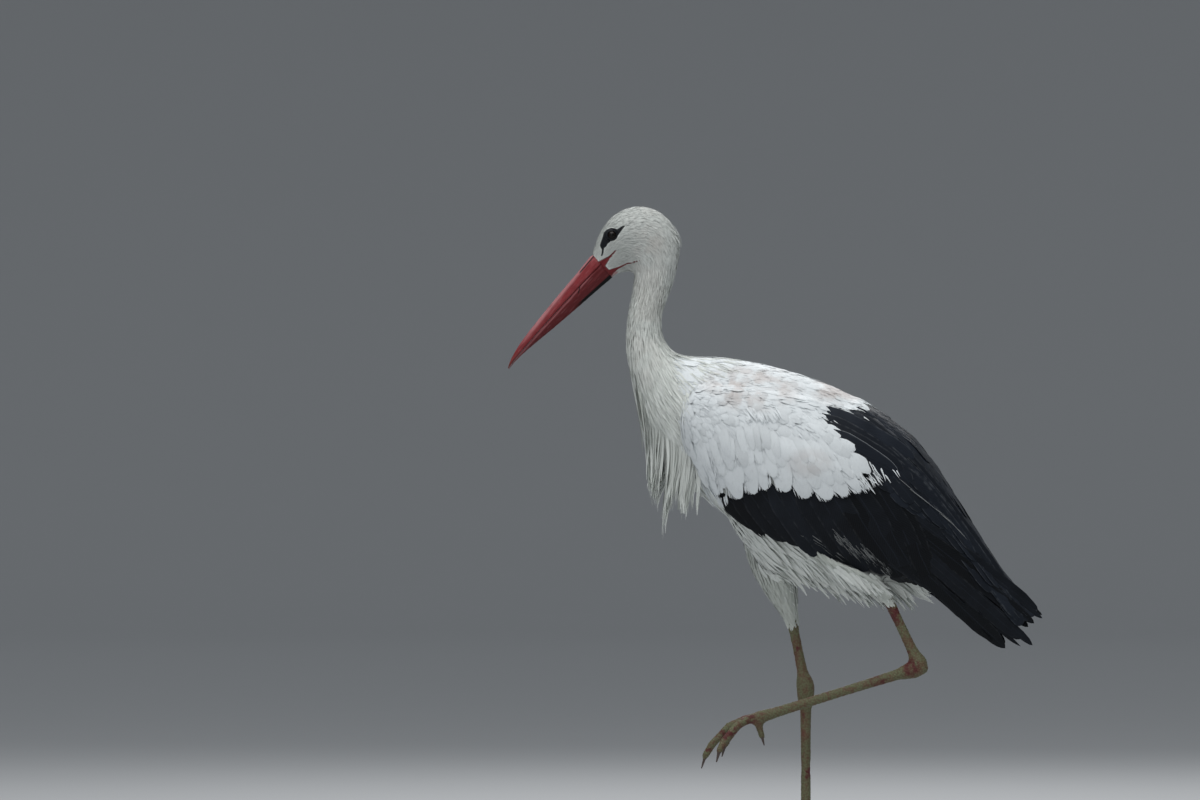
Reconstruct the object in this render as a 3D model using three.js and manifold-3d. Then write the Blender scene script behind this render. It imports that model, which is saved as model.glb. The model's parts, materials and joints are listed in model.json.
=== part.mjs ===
// White stork, walking: it stands on its right leg and lifts the left one behind it.
// Millimetres, +Z up, +X ahead of the bird, +Y to its left.
// The origin is on the floor, in the middle of the standing foot's pad, under its toe joint.

import * as THREE from 'three';
import { mergeVertices } from 'three/addons/utils/BufferGeometryUtils.js';
import Module from 'manifold-3d';

const wasm = await Module();
wasm.setup();

// ---- Driving dimensions ----

// Clearance between neighbouring solids.
const gap = 0.3;
// Points in the rings that each kind of solid is lofted through.
const ringPoints = { body: 18, bill: 10, hollow: 10, thigh: 12, leg: 8 };

// Ribs of the body run from a point of the back line to one of the front line, as [x, z].
// half is half the width there, and high lifts the widest point towards the back line.
const bodyRibs = [
  { back: [257, 733], front: [233, 704], half: 12.5, high: 0 },
  { back: [250, 753], front: [226, 708], half: 16.5, high: 0.1 },
  { back: [239, 772], front: [217, 711], half: 21, high: 0.2 },
  { back: [223, 785], front: [210, 712], half: 24, high: 0.2 },
  { back: [202, 791], front: [206, 710], half: 25.5, high: 0.15 },
  { back: [181, 787], front: [205, 706], half: 26, high: 0.1 },
  { back: [164, 775], front: [206, 701], half: 25, high: 0.05 },
  { back: [153, 755], front: [207, 695], half: 23.5, high: 0 },
  { back: [151, 732], front: [209, 687], half: 22.5, high: 0 },
  { back: [158, 700], front: [211, 676], half: 21.5, high: 0 },
  { back: [170, 668], front: [214, 660], half: 21, high: 0 },
  { back: [173, 646], front: [216, 640], half: 21, high: 0 },
  { back: [168, 627], front: [216, 614], half: 23, high: 0 },
  { back: [158, 615], front: [211, 588], half: 27, high: 0 },
  { back: [145, 611], front: [204, 562], half: 33, high: 0 },
  { back: [125, 610], front: [192, 520], half: 43, high: 0 },
  { back: [100, 610], front: [166, 474], half: 57, high: 0.05 },
  { back: [73, 606], front: [131, 438], half: 69, high: 0.1 },
  { back: [43, 600], front: [101, 402], half: 77, high: 0.1 },
  { back: [7, 590], front: [60, 363], half: 81, high: 0.1 },
  { back: [-29, 577], front: [7, 342], half: 80, high: 0.1 },
  { back: [-62, 561], front: [-41, 331], half: 74, high: 0.1 },
  { back: [-97, 528], front: [-83, 328], half: 65, high: 0.1 },
  { back: [-131, 482], front: [-121, 326], half: 54, high: 0.1 },
  { back: [-163, 410], front: [-155, 312], half: 46, high: 0.1 },
  { back: [-192, 345], front: [-184, 290], half: 40, high: 0.1 },
  { back: [-212, 306], front: [-207, 275], half: 34, high: 0 },
  { back: [-223, 286], front: [-219, 273], half: 28, high: 0 },
];
// The head and upper neck are rounder, with a ring between ribs, as far as this rib.
const roundEnd = 12;
// The ribs at which the body is parted into head, neck, trunk and tail,
// and how far past each rib the cut lies, as a share of the way to the next one.
const headEnd = 8;
const neckMiddle = 11;
const neckEnd = 14;
const trunkEnd = 22;
const pastRib = 0.25;

// Outer form of the two folded wings, laid over the trunk.
const wingRibs = [
  { back: [125, 610], front: [192, 520], half: 56, high: 0.05 },
  { back: [100, 610], front: [166, 474], half: 72, high: 0.1 },
  { back: [73, 606], front: [131, 438], half: 83, high: 0.1 },
  { back: [43, 600], front: [98, 402], half: 90, high: 0.1 },
  { back: [7, 590], front: [56, 362], half: 94, high: 0.1 },
  { back: [-29, 577], front: [7, 336], half: 94, high: 0.1 },
  { back: [-66, 561], front: [-41, 320], half: 89, high: 0.1 },
  { back: [-101, 540], front: [-85, 308], half: 80, high: 0.1 },
  { back: [-131, 515], front: [-125, 296], half: 71, high: 0.1 },
  { back: [-161, 476], front: [-161, 280], half: 61, high: 0.1 },
  { back: [-197, 418], front: [-197, 255], half: 51, high: 0.1 },
  { back: [-233, 361], front: [-236, 235], half: 41, high: 0.1 },
  { back: [-262, 323], front: [-268, 238], half: 31, high: 0.1 },
  { back: [-290, 300], front: [-292, 255], half: 22, high: 0.1 },
];

// The space under the folded wings, above and beside the tail.
const hollowRibs = [
  { back: [-148, 425], front: [-150, 180], half: 42, high: 0 },
  { back: [-197, 398], front: [-197, 160], half: 43, high: 0 },
  { back: [-233, 342], front: [-236, 150], half: 34, high: 0 },
  { back: [-262, 304], front: [-268, 140], half: 24.5, high: 0 },
  { back: [-300, 270], front: [-300, 130], half: 15, high: 0 },
];

// Side outlines of the folded wing and of its feather groups, as [x, z].
const wingTop = [[-22, 553], [19, 565], [79, 573], [120, 577]];
const wingLead = [[133, 574], [146, 552], [150, 528], [139, 492], [124, 460], [110, 440], [97, 428]];
const wingLower = [[79, 412], [61, 402], [36, 397], [7, 384], [-29, 366], [-65, 352], [-103, 342],
  [-127, 340], [-143, 334], [-167, 321], [-180, 307], [-194, 289], [-206, 280], [-218, 277]];
const wingTips = [[-221, 265], [-228, 274], [-233, 264], [-242, 260], [-251, 264], [-254, 272],
  [-261, 266], [-272, 266], [-270, 283], [-267, 292], [-281, 297], [-277, 312], [-263, 325],
  [-251, 334]];
const wingBack = [[-240, 400], [-120, 600], [-72, 600], [-55, 546]];
const covertEdge = [[-22, 549], [-21, 536], [-26, 520], [-53, 492], [-83, 469], [-96, 459]];
const covertLower = [[-74, 450], [-53, 443], [-29, 439], [-11, 440], [-3, 449], [7, 441], [19, 448],
  [25, 456], [41, 464], [48, 448], [65, 442], [84, 439], [97, 447]];
const scapularEdge = [[-30, 552], [-61, 534], [-89, 510], [-101, 488], [-112, 468]];
const tertialLower = [[-119, 462], [-137, 442], [-161, 420], [-185, 390], [-200, 370], [-233, 342],
  [-251, 330]];
const primaryStart = { at: [-130, 400], lean: -0.12 };
// Points that close the outlines of the groups, clear of the wing.
const aroundCoverts = [[98, 415], [170, 440], [170, 600], [-15, 600]];
const underScapulars = [-101, 462];
const aboveScapulars = [[-16, 600], [-26, 600]];
const aroundTertials = [[-262, 350], [-120, 640], [-26, 620]];

// Bill, along a line from the middle of its base to its tip. up and down are measured from that line.
const billBase = [245, 719];
const billTip = [357.5, 594];
const billRibs = [
  { along: -4, up: 18.4, down: -20.2, half: 12 },
  { along: 20, up: 16.6, down: -16.6, half: 10.2 },
  { along: 57, up: 15.5, down: -12.2, half: 8.2 },
  { along: 95, up: 13.8, down: -7.2, half: 6.4 },
  { along: 134, up: 10.8, down: -1.6, half: 4.4 },
  { along: 156, up: 6.2, down: 0.2, half: 2.9 },
  { along: 168, up: 1.2, down: -0.6, half: 1.2 },
];
// The mouth line rises over the bill's line, and the cut along it runs past the bill at both ends.
const mouth = { rise: 3.4, steps: 10, past: 5, clear: 60 };

const eye = { at: [232.8, 755.5], radius: 8, inFrom: 6.4, sideways: 20.5 };

// Hanging breast plumes: the edge of a curtain round the front of the neck's foot.
const plume = {
  top: 578, sideTop: 556, spread: 1.62, columnsPerLock: 2, rows: 4, thick: 22, tipThick: 2,
  notch: 20, taper: 1.4, innerRise: 0.2,
  locks: [452, 436, 405, 416, 431, 427, 426],
};
const plumeLevels = [
  { z: 578, front: 203, side: 140, half: 32 },
  { z: 530, front: 199, side: 136, half: 45 },
  { z: 474, front: 190, side: 128, half: 49 },
  { z: 436, front: 188, side: 121, half: 42 },
  { z: 400, front: 186, side: 118, half: 33 },
];

// Legs: joints as [x, y, z], from the knee to the toe joint and the end of the foot's pad.
const rightLeg = {
  side: 'right', knee: [54, -42, 412], bare: [16, -24, 292], hock: [0, -13, 213], toes: [0, 0, 9],
  sole: [0, 0, -1], thighHalf: 40, droop: 0,
};
const leftLeg = {
  side: 'left', knee: [8, 42, 412], bare: [-97, 38, 320], hock: [-136, 36, 238], toes: [59, 27, 177],
  sole: [65, 27, 174], thighHalf: 36, droop: 75,
};
// The thigh's half widths along it, as shares of thighHalf, at shares of the way from the knee down.
const thighShape = {
  places: [-0.12, 0.15, 0.42, 0.68, 0.88, 1.06], girths: [0.7, 1, 0.98, 0.72, 0.4], flat: 0.72, ankle: 8.7,
};
const shankRadius = 6.2;
const tarsusRadius = 6;
const hockRadius = 11.5;
const padRadius = 8.5;

// Toes: length, angle from straight ahead (towards the bird's middle), radius at the root.
const toeSizes = [
  { name: 'middle', length: 80, turn: 2, radius: 5.8, claw: 10 },
  { name: 'inner', length: 60, turn: 34, radius: 5.4, claw: 9 },
  { name: 'outer', length: 68, turn: -30, radius: 5.5, claw: 9 },
  { name: 'hind', length: 26, turn: 168, radius: 4.6, claw: 8 },
];
// Height of a toe's middle line over the floor, as a share of its radius: its underside is cut flat.
const toeRise = 0.8;

// ---- Finishes ----

const finish = {
  white: { color: 0xe9e7e0, roughness: 0.75, metalness: 0 },
  black: { color: 0x17181c, roughness: 0.45, metalness: 0 },
  bill: { color: 0xa8322c, roughness: 0.4, metalness: 0 },
  leg: { color: 0xb5564c, roughness: 0.6, metalness: 0 },
  claw: { color: 0x4a3b36, roughness: 0.5, metalness: 0 },
  eye: { color: 0x120d0a, roughness: 0.08, metalness: 0 },
};

const stork = new THREE.Group();

// ---- Solids ----

const upright = new THREE.Vector3(0, 0, 1);
const leftwards = new THREE.Vector3(0, 1, 0);
const floor = ahead(new THREE.Vector3(0, 0, 0), upright);

function solidOf(geometry) {
  const plain = new THREE.BufferGeometry();
  plain.setAttribute('position', geometry.getAttribute('position'));
  if (geometry.index) plain.setIndex(geometry.index);
  const merged = mergeVertices(plain, 1e-4);
  return new wasm.Manifold(new wasm.Mesh({
    numProp: 3,
    vertProperties: new Float32Array(merged.getAttribute('position').array),
    triVerts: new Uint32Array(merged.index.array),
  }));
}

function geometryOf(solid) {
  const mesh = solid.getMesh();
  const geometry = new THREE.BufferGeometry();
  geometry.setAttribute('position', new THREE.BufferAttribute(mesh.vertProperties, 3));
  geometry.setIndex(new THREE.BufferAttribute(mesh.triVerts, 1));
  return geometry;
}

function largest(solid) {
  const pieces = solid.decompose();
  return pieces.sort((a, b) => b.volume() - a.volume())[0];
}

function addMesh(name, solid, look) {
  const mesh = new THREE.Mesh(geometryOf(largest(solid)), new THREE.MeshStandardMaterial(look));
  mesh.name = name;
  stork.add(mesh);
}

// Closed skin over a row of rings that have the same number of points.
function skin(rings) {
  const sides = rings[0].length;
  const points = rings.flat();
  const index = [];
  for (let r = 0; r < rings.length - 1; r += 1) {
    for (let s = 0; s < sides; s += 1) {
      const a = r * sides + s;
      const b = r * sides + (s + 1) % sides;
      index.push(a, b, a + sides, b, b + sides, a + sides);
    }
  }
  for (const [ring, start, turn] of [[rings[0], 0, 1], [rings.at(-1), points.length - sides, 0]]) {
    const middle = new THREE.Vector3();
    for (const point of ring) middle.addScaledVector(point, 1 / sides);
    const centre = points.push(middle) - 1;
    for (let s = 0; s < sides; s += 1) {
      const a = start + s;
      const b = start + (s + 1) % sides;
      if (turn) index.push(b, a, centre);
      else index.push(a, b, centre);
    }
  }
  const geometry = new THREE.BufferGeometry().setFromPoints(points);
  geometry.setIndex(signedVolume(points, index) < 0 ? index.reverse() : index);
  return solidOf(geometry);
}

function signedVolume(points, index) {
  let sum = 0;
  for (let i = 0; i < index.length; i += 3) {
    const [a, b, c] = [points[index[i]], points[index[i + 1]], points[index[i + 2]]];
    sum += a.dot(b.clone().cross(c)) / 6;
  }
  return sum;
}

// Loft through ribs that each span a back point and a front point in the XZ plane.
// The first halved ribs have a ring halfway to the next one as well.
function ribLoft(ribs, sides, halved, grow = 0) {
  const curve = (pick) => new THREE.CatmullRomCurve3(ribs.map(pick), false, 'centripetal');
  const backs = curve((rib) => new THREE.Vector3(rib.back[0], 0, rib.back[1]));
  const fronts = curve((rib) => new THREE.Vector3(rib.front[0], 0, rib.front[1]));
  const sizes = curve((rib) => new THREE.Vector3(rib.half, rib.high, 0));
  const places = ribs.flatMap((_, i) => (i < Math.min(halved, ribs.length - 1) ? [i, i + 0.5] : [i]));
  const rings = [];
  for (const place of places) {
    const t = place / (ribs.length - 1);
    const back = backs.getPoint(t);
    const front = fronts.getPoint(t);
    const size = sizes.getPoint(t);
    const middle = back.clone().add(front).multiplyScalar(0.5);
    const reach = back.clone().sub(middle);
    reach.setLength(reach.length() + grow);
    const half = size.x + grow;
    const ring = [];
    for (let s = 0; s < sides; s += 1) {
      const angle = (2 * Math.PI * s) / sides;
      const lift = Math.cos(angle);
      const point = middle.clone().addScaledVector(reach, lift);
      point.y = half * Math.sin(angle) * (1 + size.y * lift);
      ring.push(point);
    }
    rings.push(ring);
  }
  return skin(rings);
}

// Loft of round or flattened rings along a curve; radii are [sideways, upwards] or one number.
function limb(path, radii, sides, steps, up, grow = 0) {
  const curve = new THREE.CatmullRomCurve3(path.map((p) => new THREE.Vector3(...p)), false, 'centripetal');
  const sizes = new THREE.CatmullRomCurve3(
    radii.map((r) => (Array.isArray(r) ? new THREE.Vector3(r[0], r[1], 0) : new THREE.Vector3(r, r, 0))),
    false,
    'centripetal',
  );
  const rings = [];
  for (let step = 0; step <= steps; step += 1) {
    const t = step / steps;
    const onwards = curve.getTangent(t);
    const middle = curve.getPoint(t);
    if (step === 0) middle.addScaledVector(onwards, -grow);
    if (step === steps) middle.addScaledVector(onwards, grow);
    const sideways = new THREE.Vector3().crossVectors(up, onwards).normalize();
    const upwards = new THREE.Vector3().crossVectors(onwards, sideways);
    const size = sizes.getPoint(t);
    const ring = [];
    for (let s = 0; s < sides; s += 1) {
      const angle = (2 * Math.PI * (s + 0.5)) / sides;
      ring.push(middle.clone()
        .addScaledVector(sideways, (size.x + grow) * Math.cos(angle))
        .addScaledVector(upwards, (size.y + grow) * Math.sin(angle)));
    }
    rings.push(ring);
  }
  return skin(rings);
}

// Prism across the bird with a side outline, grown outwards by a margin.
function prism(outline, grow = 0) {
  const width = 300;
  const sharpest = 0.4;
  const corners = outline.map(([x, z]) => new THREE.Vector2(x, z));
  const turn = Math.sign(THREE.ShapeUtils.area(corners));
  const count = corners.length;
  const grown = corners.map((corner, i) => {
    const before = corner.clone().sub(corners[(i + count - 1) % count]).normalize();
    const after = corners[(i + 1) % count].clone().sub(corner).normalize();
    const outwards = new THREE.Vector2(before.y + after.y, -before.x - after.x).normalize();
    const spread = Math.max(sharpest, outwards.dot(new THREE.Vector2(after.y, -after.x)));
    return corner.clone().addScaledVector(outwards, (turn * grow) / spread);
  });
  const geometry = new THREE.ExtrudeGeometry(new THREE.Shape(grown), { depth: width, bevelEnabled: false });
  geometry.rotateX(Math.PI / 2);
  geometry.translate(0, width / 2, 0);
  return solidOf(geometry);
}

// Half space as a large block: all that lies ahead of a point, along a direction.
function ahead(point, direction) {
  const size = 1600;
  const block = new THREE.BoxGeometry(size, size, size);
  block.translate(0, 0, size / 2);
  block.applyQuaternion(new THREE.Quaternion().setFromUnitVectors(
    new THREE.Vector3(0, 0, 1),
    direction.clone().normalize(),
  ));
  block.translate(point.x, point.y, point.z);
  return solidOf(block);
}

// Part a solid by a thin cut: what lies behind the plane, and what lies ahead of it.
function parted(solid, point, direction) {
  const shift = direction.clone().setLength(gap / 2);
  const front = ahead(point.clone().add(shift), direction);
  const back = ahead(point.clone().sub(shift), direction.clone().negate());
  return [solid.intersect(back), solid.intersect(front)];
}

// ---- Head, neck, trunk and tail ----

const body = ribLoft(bodyRibs, ringPoints.body, roundEnd);
const bodyRoom = ribLoft(bodyRibs, ringPoints.body, roundEnd, gap);

// Plane just past a rib: a point in it, and the direction from the head towards the tail.
function ribPlane(index) {
  const [here, next] = [bodyRibs[index], bodyRibs[index + 1]];
  const past = (from, to) => new THREE.Vector3(from[0], 0, from[1])
    .lerp(new THREE.Vector3(to[0], 0, to[1]), pastRib);
  const back = past(here.back, next.back);
  const front = past(here.front, next.front);
  const point = back.clone().add(front).multiplyScalar(0.5);
  return { point, direction: back.sub(front).cross(leftwards) };
}

function eyeball(outwards, grow = 0) {
  const ball = new THREE.SphereGeometry(eye.radius + grow, 10, 5);
  ball.translate(eye.at[0], outwards * (eye.sideways - eye.inFrom), eye.at[1]);
  return solidOf(ball);
}

// ---- Legs ----

function between(from, to, share) {
  return new THREE.Vector3(...from).lerp(new THREE.Vector3(...to), share).toArray();
}

// The feathered thigh, from inside the trunk down to the bare shank.
function thighLoft(leg, grow = 0) {
  const halves = [...thighShape.girths.map((share) => share * leg.thighHalf), thighShape.ankle];
  return limb(
    thighShape.places.map((share) => between(leg.knee, leg.bare, share)),
    halves.map((half) => [half * thighShape.flat, half]),
    ringPoints.thigh,
    7,
    leftwards,
    grow,
  );
}

// Bare leg in three lengths: the shank, the hock and the tarsus down to the toe joint.
function shankSolid(leg) {
  return limb(
    [0.004, 0.3, 0.75, 1].map((share) => between(leg.bare, leg.hock, share)),
    [shankRadius + 1, shankRadius, shankRadius + 0.5, hockRadius - 2],
    ringPoints.leg,
    5,
    leftwards,
  );
}

function hockSolid(leg, grow = 0) {
  return limb(
    [between(leg.bare, leg.hock, 0.8), between(leg.bare, leg.hock, 0.92), leg.hock,
      between(leg.hock, leg.toes, 0.05), between(leg.hock, leg.toes, 0.13)],
    [shankRadius + 1.6, hockRadius - 0.5, hockRadius, hockRadius - 0.5, tarsusRadius + 1.6],
    ringPoints.leg,
    6,
    leftwards,
    grow,
  );
}

function tarsusSolid(leg, grow = 0) {
  return limb(
    [...[0, 0.2, 0.5, 0.88, 1].map((share) => between(leg.hock, leg.toes, share)), leg.sole],
    [hockRadius - 3, tarsusRadius + 0.6, tarsusRadius, tarsusRadius + 0.6, padRadius, padRadius - 1.5],
    ringPoints.leg,
    8,
    leftwards,
    grow,
  );
}

// Line of one toe from the toe joint outwards. droop bends a front toe downwards, all the more
// towards its tip, and a hind toe points down by the whole of it.
function toePoint(leg, toe, along) {
  const toMiddle = leg.side === 'right' ? 1 : -1;
  const turn = toMiddle * THREE.MathUtils.degToRad(toe.turn);
  const [x, y, z] = leg.toes;
  const base = leg.droop === 0 ? toeRise * toe.radius : z;
  const bentShare = toe.name === 'hind' ? 1 : 0.5 * (along / toe.length);
  const bend = THREE.MathUtils.degToRad(leg.droop) * bentShare;
  const reach = along * Math.cos(bend);
  return [x + reach * Math.cos(turn), y + reach * Math.sin(turn), base - along * Math.sin(bend)];
}

// One toe and its claw in one piece.
function toeLoft(leg, toe, grow = 0) {
  const root = padRadius - 2;
  const knuckles = [...[0, 0.12, 0.5, 0.93, 1].map((share) => root + share * (toe.length - root)),
    toe.length + 1.5, toe.length + toe.claw];
  const girths = [1, 1, 0.93, 0.85, 0.62].map((share) => share * toe.radius);
  return limb(
    knuckles.map((along) => toePoint(leg, toe, along)),
    [...girths, [2.8, 2], [1, 0.7]],
    ringPoints.leg,
    7,
    upright,
    grow,
  );
}

function addLeg(leg) {
  const tarsus = tarsusSolid(leg).subtract(hockSolid(leg, gap)).intersect(floor);
  addMesh(`shank_${leg.side}`, shankSolid(leg).subtract(hockSolid(leg, gap)), finish.leg);
  addMesh(`hock_${leg.side}`, hockSolid(leg), finish.leg);
  addMesh(`tarsus_${leg.side}`, tarsus, finish.leg);
  let taken = tarsusSolid(leg, gap);
  for (const toe of toeSizes) {
    const end = new THREE.Vector3(...toePoint(leg, toe, toe.length));
    const beyond = new THREE.Vector3(...toePoint(leg, toe, toe.length + 1));
    const whole = toeLoft(leg, toe).intersect(floor).subtract(taken);
    const [flesh, claw] = parted(whole, end, beyond.sub(end));
    addMesh(`toe_${toe.name}_${leg.side}`, flesh, finish.leg);
    addMesh(`claw_${toe.name}_${leg.side}`, claw, finish.claw);
    taken = taken.add(toeLoft(leg, toe, gap));
  }
}

// ---- Parting the body ----

const eyeRoom = eyeball(1, gap).add(eyeball(-1, gap));
const [head, belowHead] = parted(body, ribPlane(headEnd).point, ribPlane(headEnd).direction);
const [neckUpper, belowMiddle] = parted(
  belowHead,
  ribPlane(neckMiddle).point,
  ribPlane(neckMiddle).direction,
);
const [neckLower, belowNeck] = parted(belowMiddle, ribPlane(neckEnd).point, ribPlane(neckEnd).direction);
const [trunk, tail] = parted(belowNeck, ribPlane(trunkEnd).point, ribPlane(trunkEnd).direction);

addMesh('head', head.subtract(eyeRoom), finish.white);
addMesh('eye_left', eyeball(1), finish.eye);
addMesh('eye_right', eyeball(-1), finish.eye);
addMesh('neck_upper', neckUpper, finish.white);
addMesh('neck_lower', neckLower, finish.white);

// ---- Bill ----

function billPoint(along, rise) {
  const axis = new THREE.Vector2(billTip[0] - billBase[0], billTip[1] - billBase[1]).normalize();
  return [
    billBase[0] + axis.x * along - axis.y * rise,
    billBase[1] + axis.y * along + axis.x * rise,
  ];
}

function addBill() {
  const ribs = billRibs.map(({ along, up, down, half }) => (
    { back: billPoint(along, up), front: billPoint(along, down), half, high: 0.1 }
  ));
  const bill = ribLoft(ribs, ringPoints.bill, ribs.length).subtract(bodyRoom);
  const length = billRibs.at(-1).along;
  const line = [];
  for (let step = 0; step <= mouth.steps; step += 1) {
    const share = step / mouth.steps;
    const arch = Math.sqrt(Math.sin(Math.PI * (0.04 + 0.96 * share)));
    line.push([(length + 2 * mouth.past) * share - mouth.past, mouth.rise * (arch || 0)]);
  }
  const half = (outwards) => [
    ...line.map(([along, rise]) => billPoint(along, rise + (outwards * gap) / 2)),
    billPoint(length + mouth.past, outwards * mouth.clear),
    billPoint(-mouth.past, outwards * mouth.clear),
  ];
  addMesh('bill_upper', bill.intersect(prism(half(1))), finish.bill);
  addMesh('bill_lower', bill.intersect(prism(half(-1))), finish.bill);
}
addBill();

// ---- Folded wings ----

const wingOutline = [...wingTop, ...wingLead, ...wingLower, ...wingTips, ...wingBack];
const wingForm = ribLoft(wingRibs, ringPoints.body, 0);
const underWing = ribLoft(hollowRibs, ringPoints.hollow, 0);
const bothWings = wingForm.intersect(prism(wingOutline)).subtract(bodyRoom).subtract(underWing);

function addWing(side, outwards) {
  const wing = bothWings.intersect(
    ahead(new THREE.Vector3(0, (outwards * gap) / 2, 0), new THREE.Vector3(0, outwards, 0)),
  );
  const covertOutline = [...covertEdge, ...covertLower, ...aroundCoverts];
  const scapularOutline = [...scapularEdge, underScapulars, ...covertEdge.toReversed(), ...aboveScapulars];
  const tertialOutline = [...scapularEdge, ...tertialLower, ...aroundTertials];
  const coverts = wing.intersect(prism(covertOutline));
  const flight = wing.subtract(prism(covertOutline, gap));
  const scapulars = flight.intersect(prism(scapularOutline));
  const lower = flight.subtract(prism(scapularOutline, gap));
  const tertials = lower.intersect(prism(tertialOutline));
  const remiges = lower.subtract(prism(tertialOutline, gap));
  const [secondaries, primaries] = parted(
    remiges,
    new THREE.Vector3(primaryStart.at[0], 0, primaryStart.at[1]),
    new THREE.Vector3(-1, 0, primaryStart.lean),
  );
  const groups = { coverts, scapulars, tertials, secondaries, primaries };
  for (const [group, solid] of Object.entries(groups)) {
    addMesh(`wing_${group}_${side}`, solid, group === 'coverts' ? finish.white : finish.black);
  }
}
addWing('left', 1);
addWing('right', -1);

// ---- Thighs, trunk and tail ----

const wingRoom = prism(wingOutline, 2 * gap);
const wingCut = prism(wingOutline, gap);
let trunkLeft = trunk;
for (const leg of [rightLeg, leftLeg]) {
  const bare = new THREE.Vector3(...leg.bare);
  const aboveBare = ahead(bare, bare.clone().sub(new THREE.Vector3(...leg.hock)));
  addMesh(`thigh_${leg.side}`, thighLoft(leg).intersect(aboveBare).subtract(wingRoom), finish.white);
  trunkLeft = trunkLeft.subtract(thighLoft(leg, gap).subtract(wingCut));
}
addMesh('trunk', trunkLeft, finish.white);
addMesh('tail', tail, finish.white);

// ---- Breast plumes ----

function plumeTip(column, columns) {
  const locks = [...plume.locks.toReversed(), ...plume.locks];
  const place = (column / columns) * locks.length;
  const lock = Math.min(locks.length - 1, Math.floor(place));
  const inLock = place - lock;
  const next = inLock < 0.5 ? Math.max(0, lock - 1) : Math.min(locks.length - 1, lock + 1);
  const fromPoint = Math.abs(2 * inLock - 1);
  const notch = Math.max(locks[lock], locks[next]) + plume.notch;
  return THREE.MathUtils.lerp(locks[lock], notch, fromPoint ** plume.taper);
}

function plumeLevel(z) {
  const above = Math.max(0, plumeLevels.findLastIndex((level) => level.z >= z));
  const high = plumeLevels[Math.min(above, plumeLevels.length - 2)];
  const low = plumeLevels[Math.min(above, plumeLevels.length - 2) + 1];
  const t = (high.z - z) / (high.z - low.z);
  const mix = (key) => THREE.MathUtils.lerp(high[key], low[key], t);
  return { front: mix('front'), side: mix('side'), half: mix('half') };
}

function addPlumes() {
  const columns = plume.locks.length * 2 * plume.columnsPerLock;
  const point = (column, row, inset) => {
    const angle = plume.spread * ((2 * column) / columns - 1);
    const top = THREE.MathUtils.lerp(plume.top, plume.sideTop, Math.abs(angle) / plume.spread);
    const z = THREE.MathUtils.lerp(top, plumeTip(column, columns), row / plume.rows);
    const { front, side, half } = plumeLevel(z);
    return new THREE.Vector3(
      side + (front - side - inset) * Math.cos(angle),
      (half - inset) * Math.sin(angle),
      z + plume.innerRise * inset,
    );
  };
  const rings = [];
  for (let column = 0; column <= columns; column += 1) {
    const ring = [];
    for (let row = 0; row <= plume.rows; row += 1) ring.push(point(column, row, 0));
    for (let row = plume.rows; row >= 0; row -= 1) {
      const share = row / plume.rows;
      ring.push(point(column, row, THREE.MathUtils.lerp(plume.thick, plume.tipThick, share ** 2)));
    }
    rings.push(ring);
  }
  const wingSpace = ribLoft(wingRibs, ringPoints.body, 0, gap).intersect(wingCut);
  addMesh('breast_plumes', skin(rings).subtract(bodyRoom).subtract(wingSpace), finish.white);
}
addPlumes();

// ---- Feet ----

addLeg(rightLeg);
addLeg(leftLeg);

export default stork;
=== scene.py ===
import json
import math

import bmesh
import bpy
import numpy as np
from bpy.props import FloatProperty, FloatVectorProperty, PointerProperty
from bpy.types import Operator, Panel, PropertyGroup, Scene
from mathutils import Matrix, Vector
from mathutils.bvhtree import BVHTree
from mathutils.kdtree import KDTree

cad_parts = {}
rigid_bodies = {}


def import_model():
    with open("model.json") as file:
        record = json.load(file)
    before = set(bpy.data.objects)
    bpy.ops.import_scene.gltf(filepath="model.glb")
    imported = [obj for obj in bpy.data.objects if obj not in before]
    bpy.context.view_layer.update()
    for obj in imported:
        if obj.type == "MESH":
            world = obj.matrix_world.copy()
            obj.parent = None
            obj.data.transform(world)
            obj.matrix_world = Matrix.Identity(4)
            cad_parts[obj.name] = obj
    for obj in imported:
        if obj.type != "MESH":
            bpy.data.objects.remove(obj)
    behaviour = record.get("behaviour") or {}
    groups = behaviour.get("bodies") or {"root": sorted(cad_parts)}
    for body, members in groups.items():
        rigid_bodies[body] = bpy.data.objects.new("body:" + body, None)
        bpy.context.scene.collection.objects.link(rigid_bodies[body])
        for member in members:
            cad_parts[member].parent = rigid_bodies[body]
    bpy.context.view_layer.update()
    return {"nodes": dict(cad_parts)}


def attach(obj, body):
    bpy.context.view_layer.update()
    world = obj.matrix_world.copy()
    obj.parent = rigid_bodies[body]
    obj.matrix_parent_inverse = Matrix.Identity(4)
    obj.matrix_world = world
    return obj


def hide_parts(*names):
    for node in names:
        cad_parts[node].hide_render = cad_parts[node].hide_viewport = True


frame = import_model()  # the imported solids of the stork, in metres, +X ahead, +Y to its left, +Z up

bl_info = {
    "name": "White Stork Still Model",
    "version": (1, 0, 0),
    "blender": (4, 5, 0),
    "location": "3D View > Sidebar > Stork",
    "description": "Builds the skin, plumage, bill, eyes, legs and studio of a life-size white stork",
    "category": "Object",
}


def nodes_named(*starts):
    """Names of the CAD nodes that start in one of these ways."""
    return [name for name in sorted(frame["nodes"]) if name.startswith(starts)]


BODY_NODES = nodes_named("head", "neck", "trunk", "tail", "thigh")
WING_NODES = nodes_named("wing")
LEG_NODES = nodes_named("shank", "hock", "tarsus", "toe")

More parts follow.
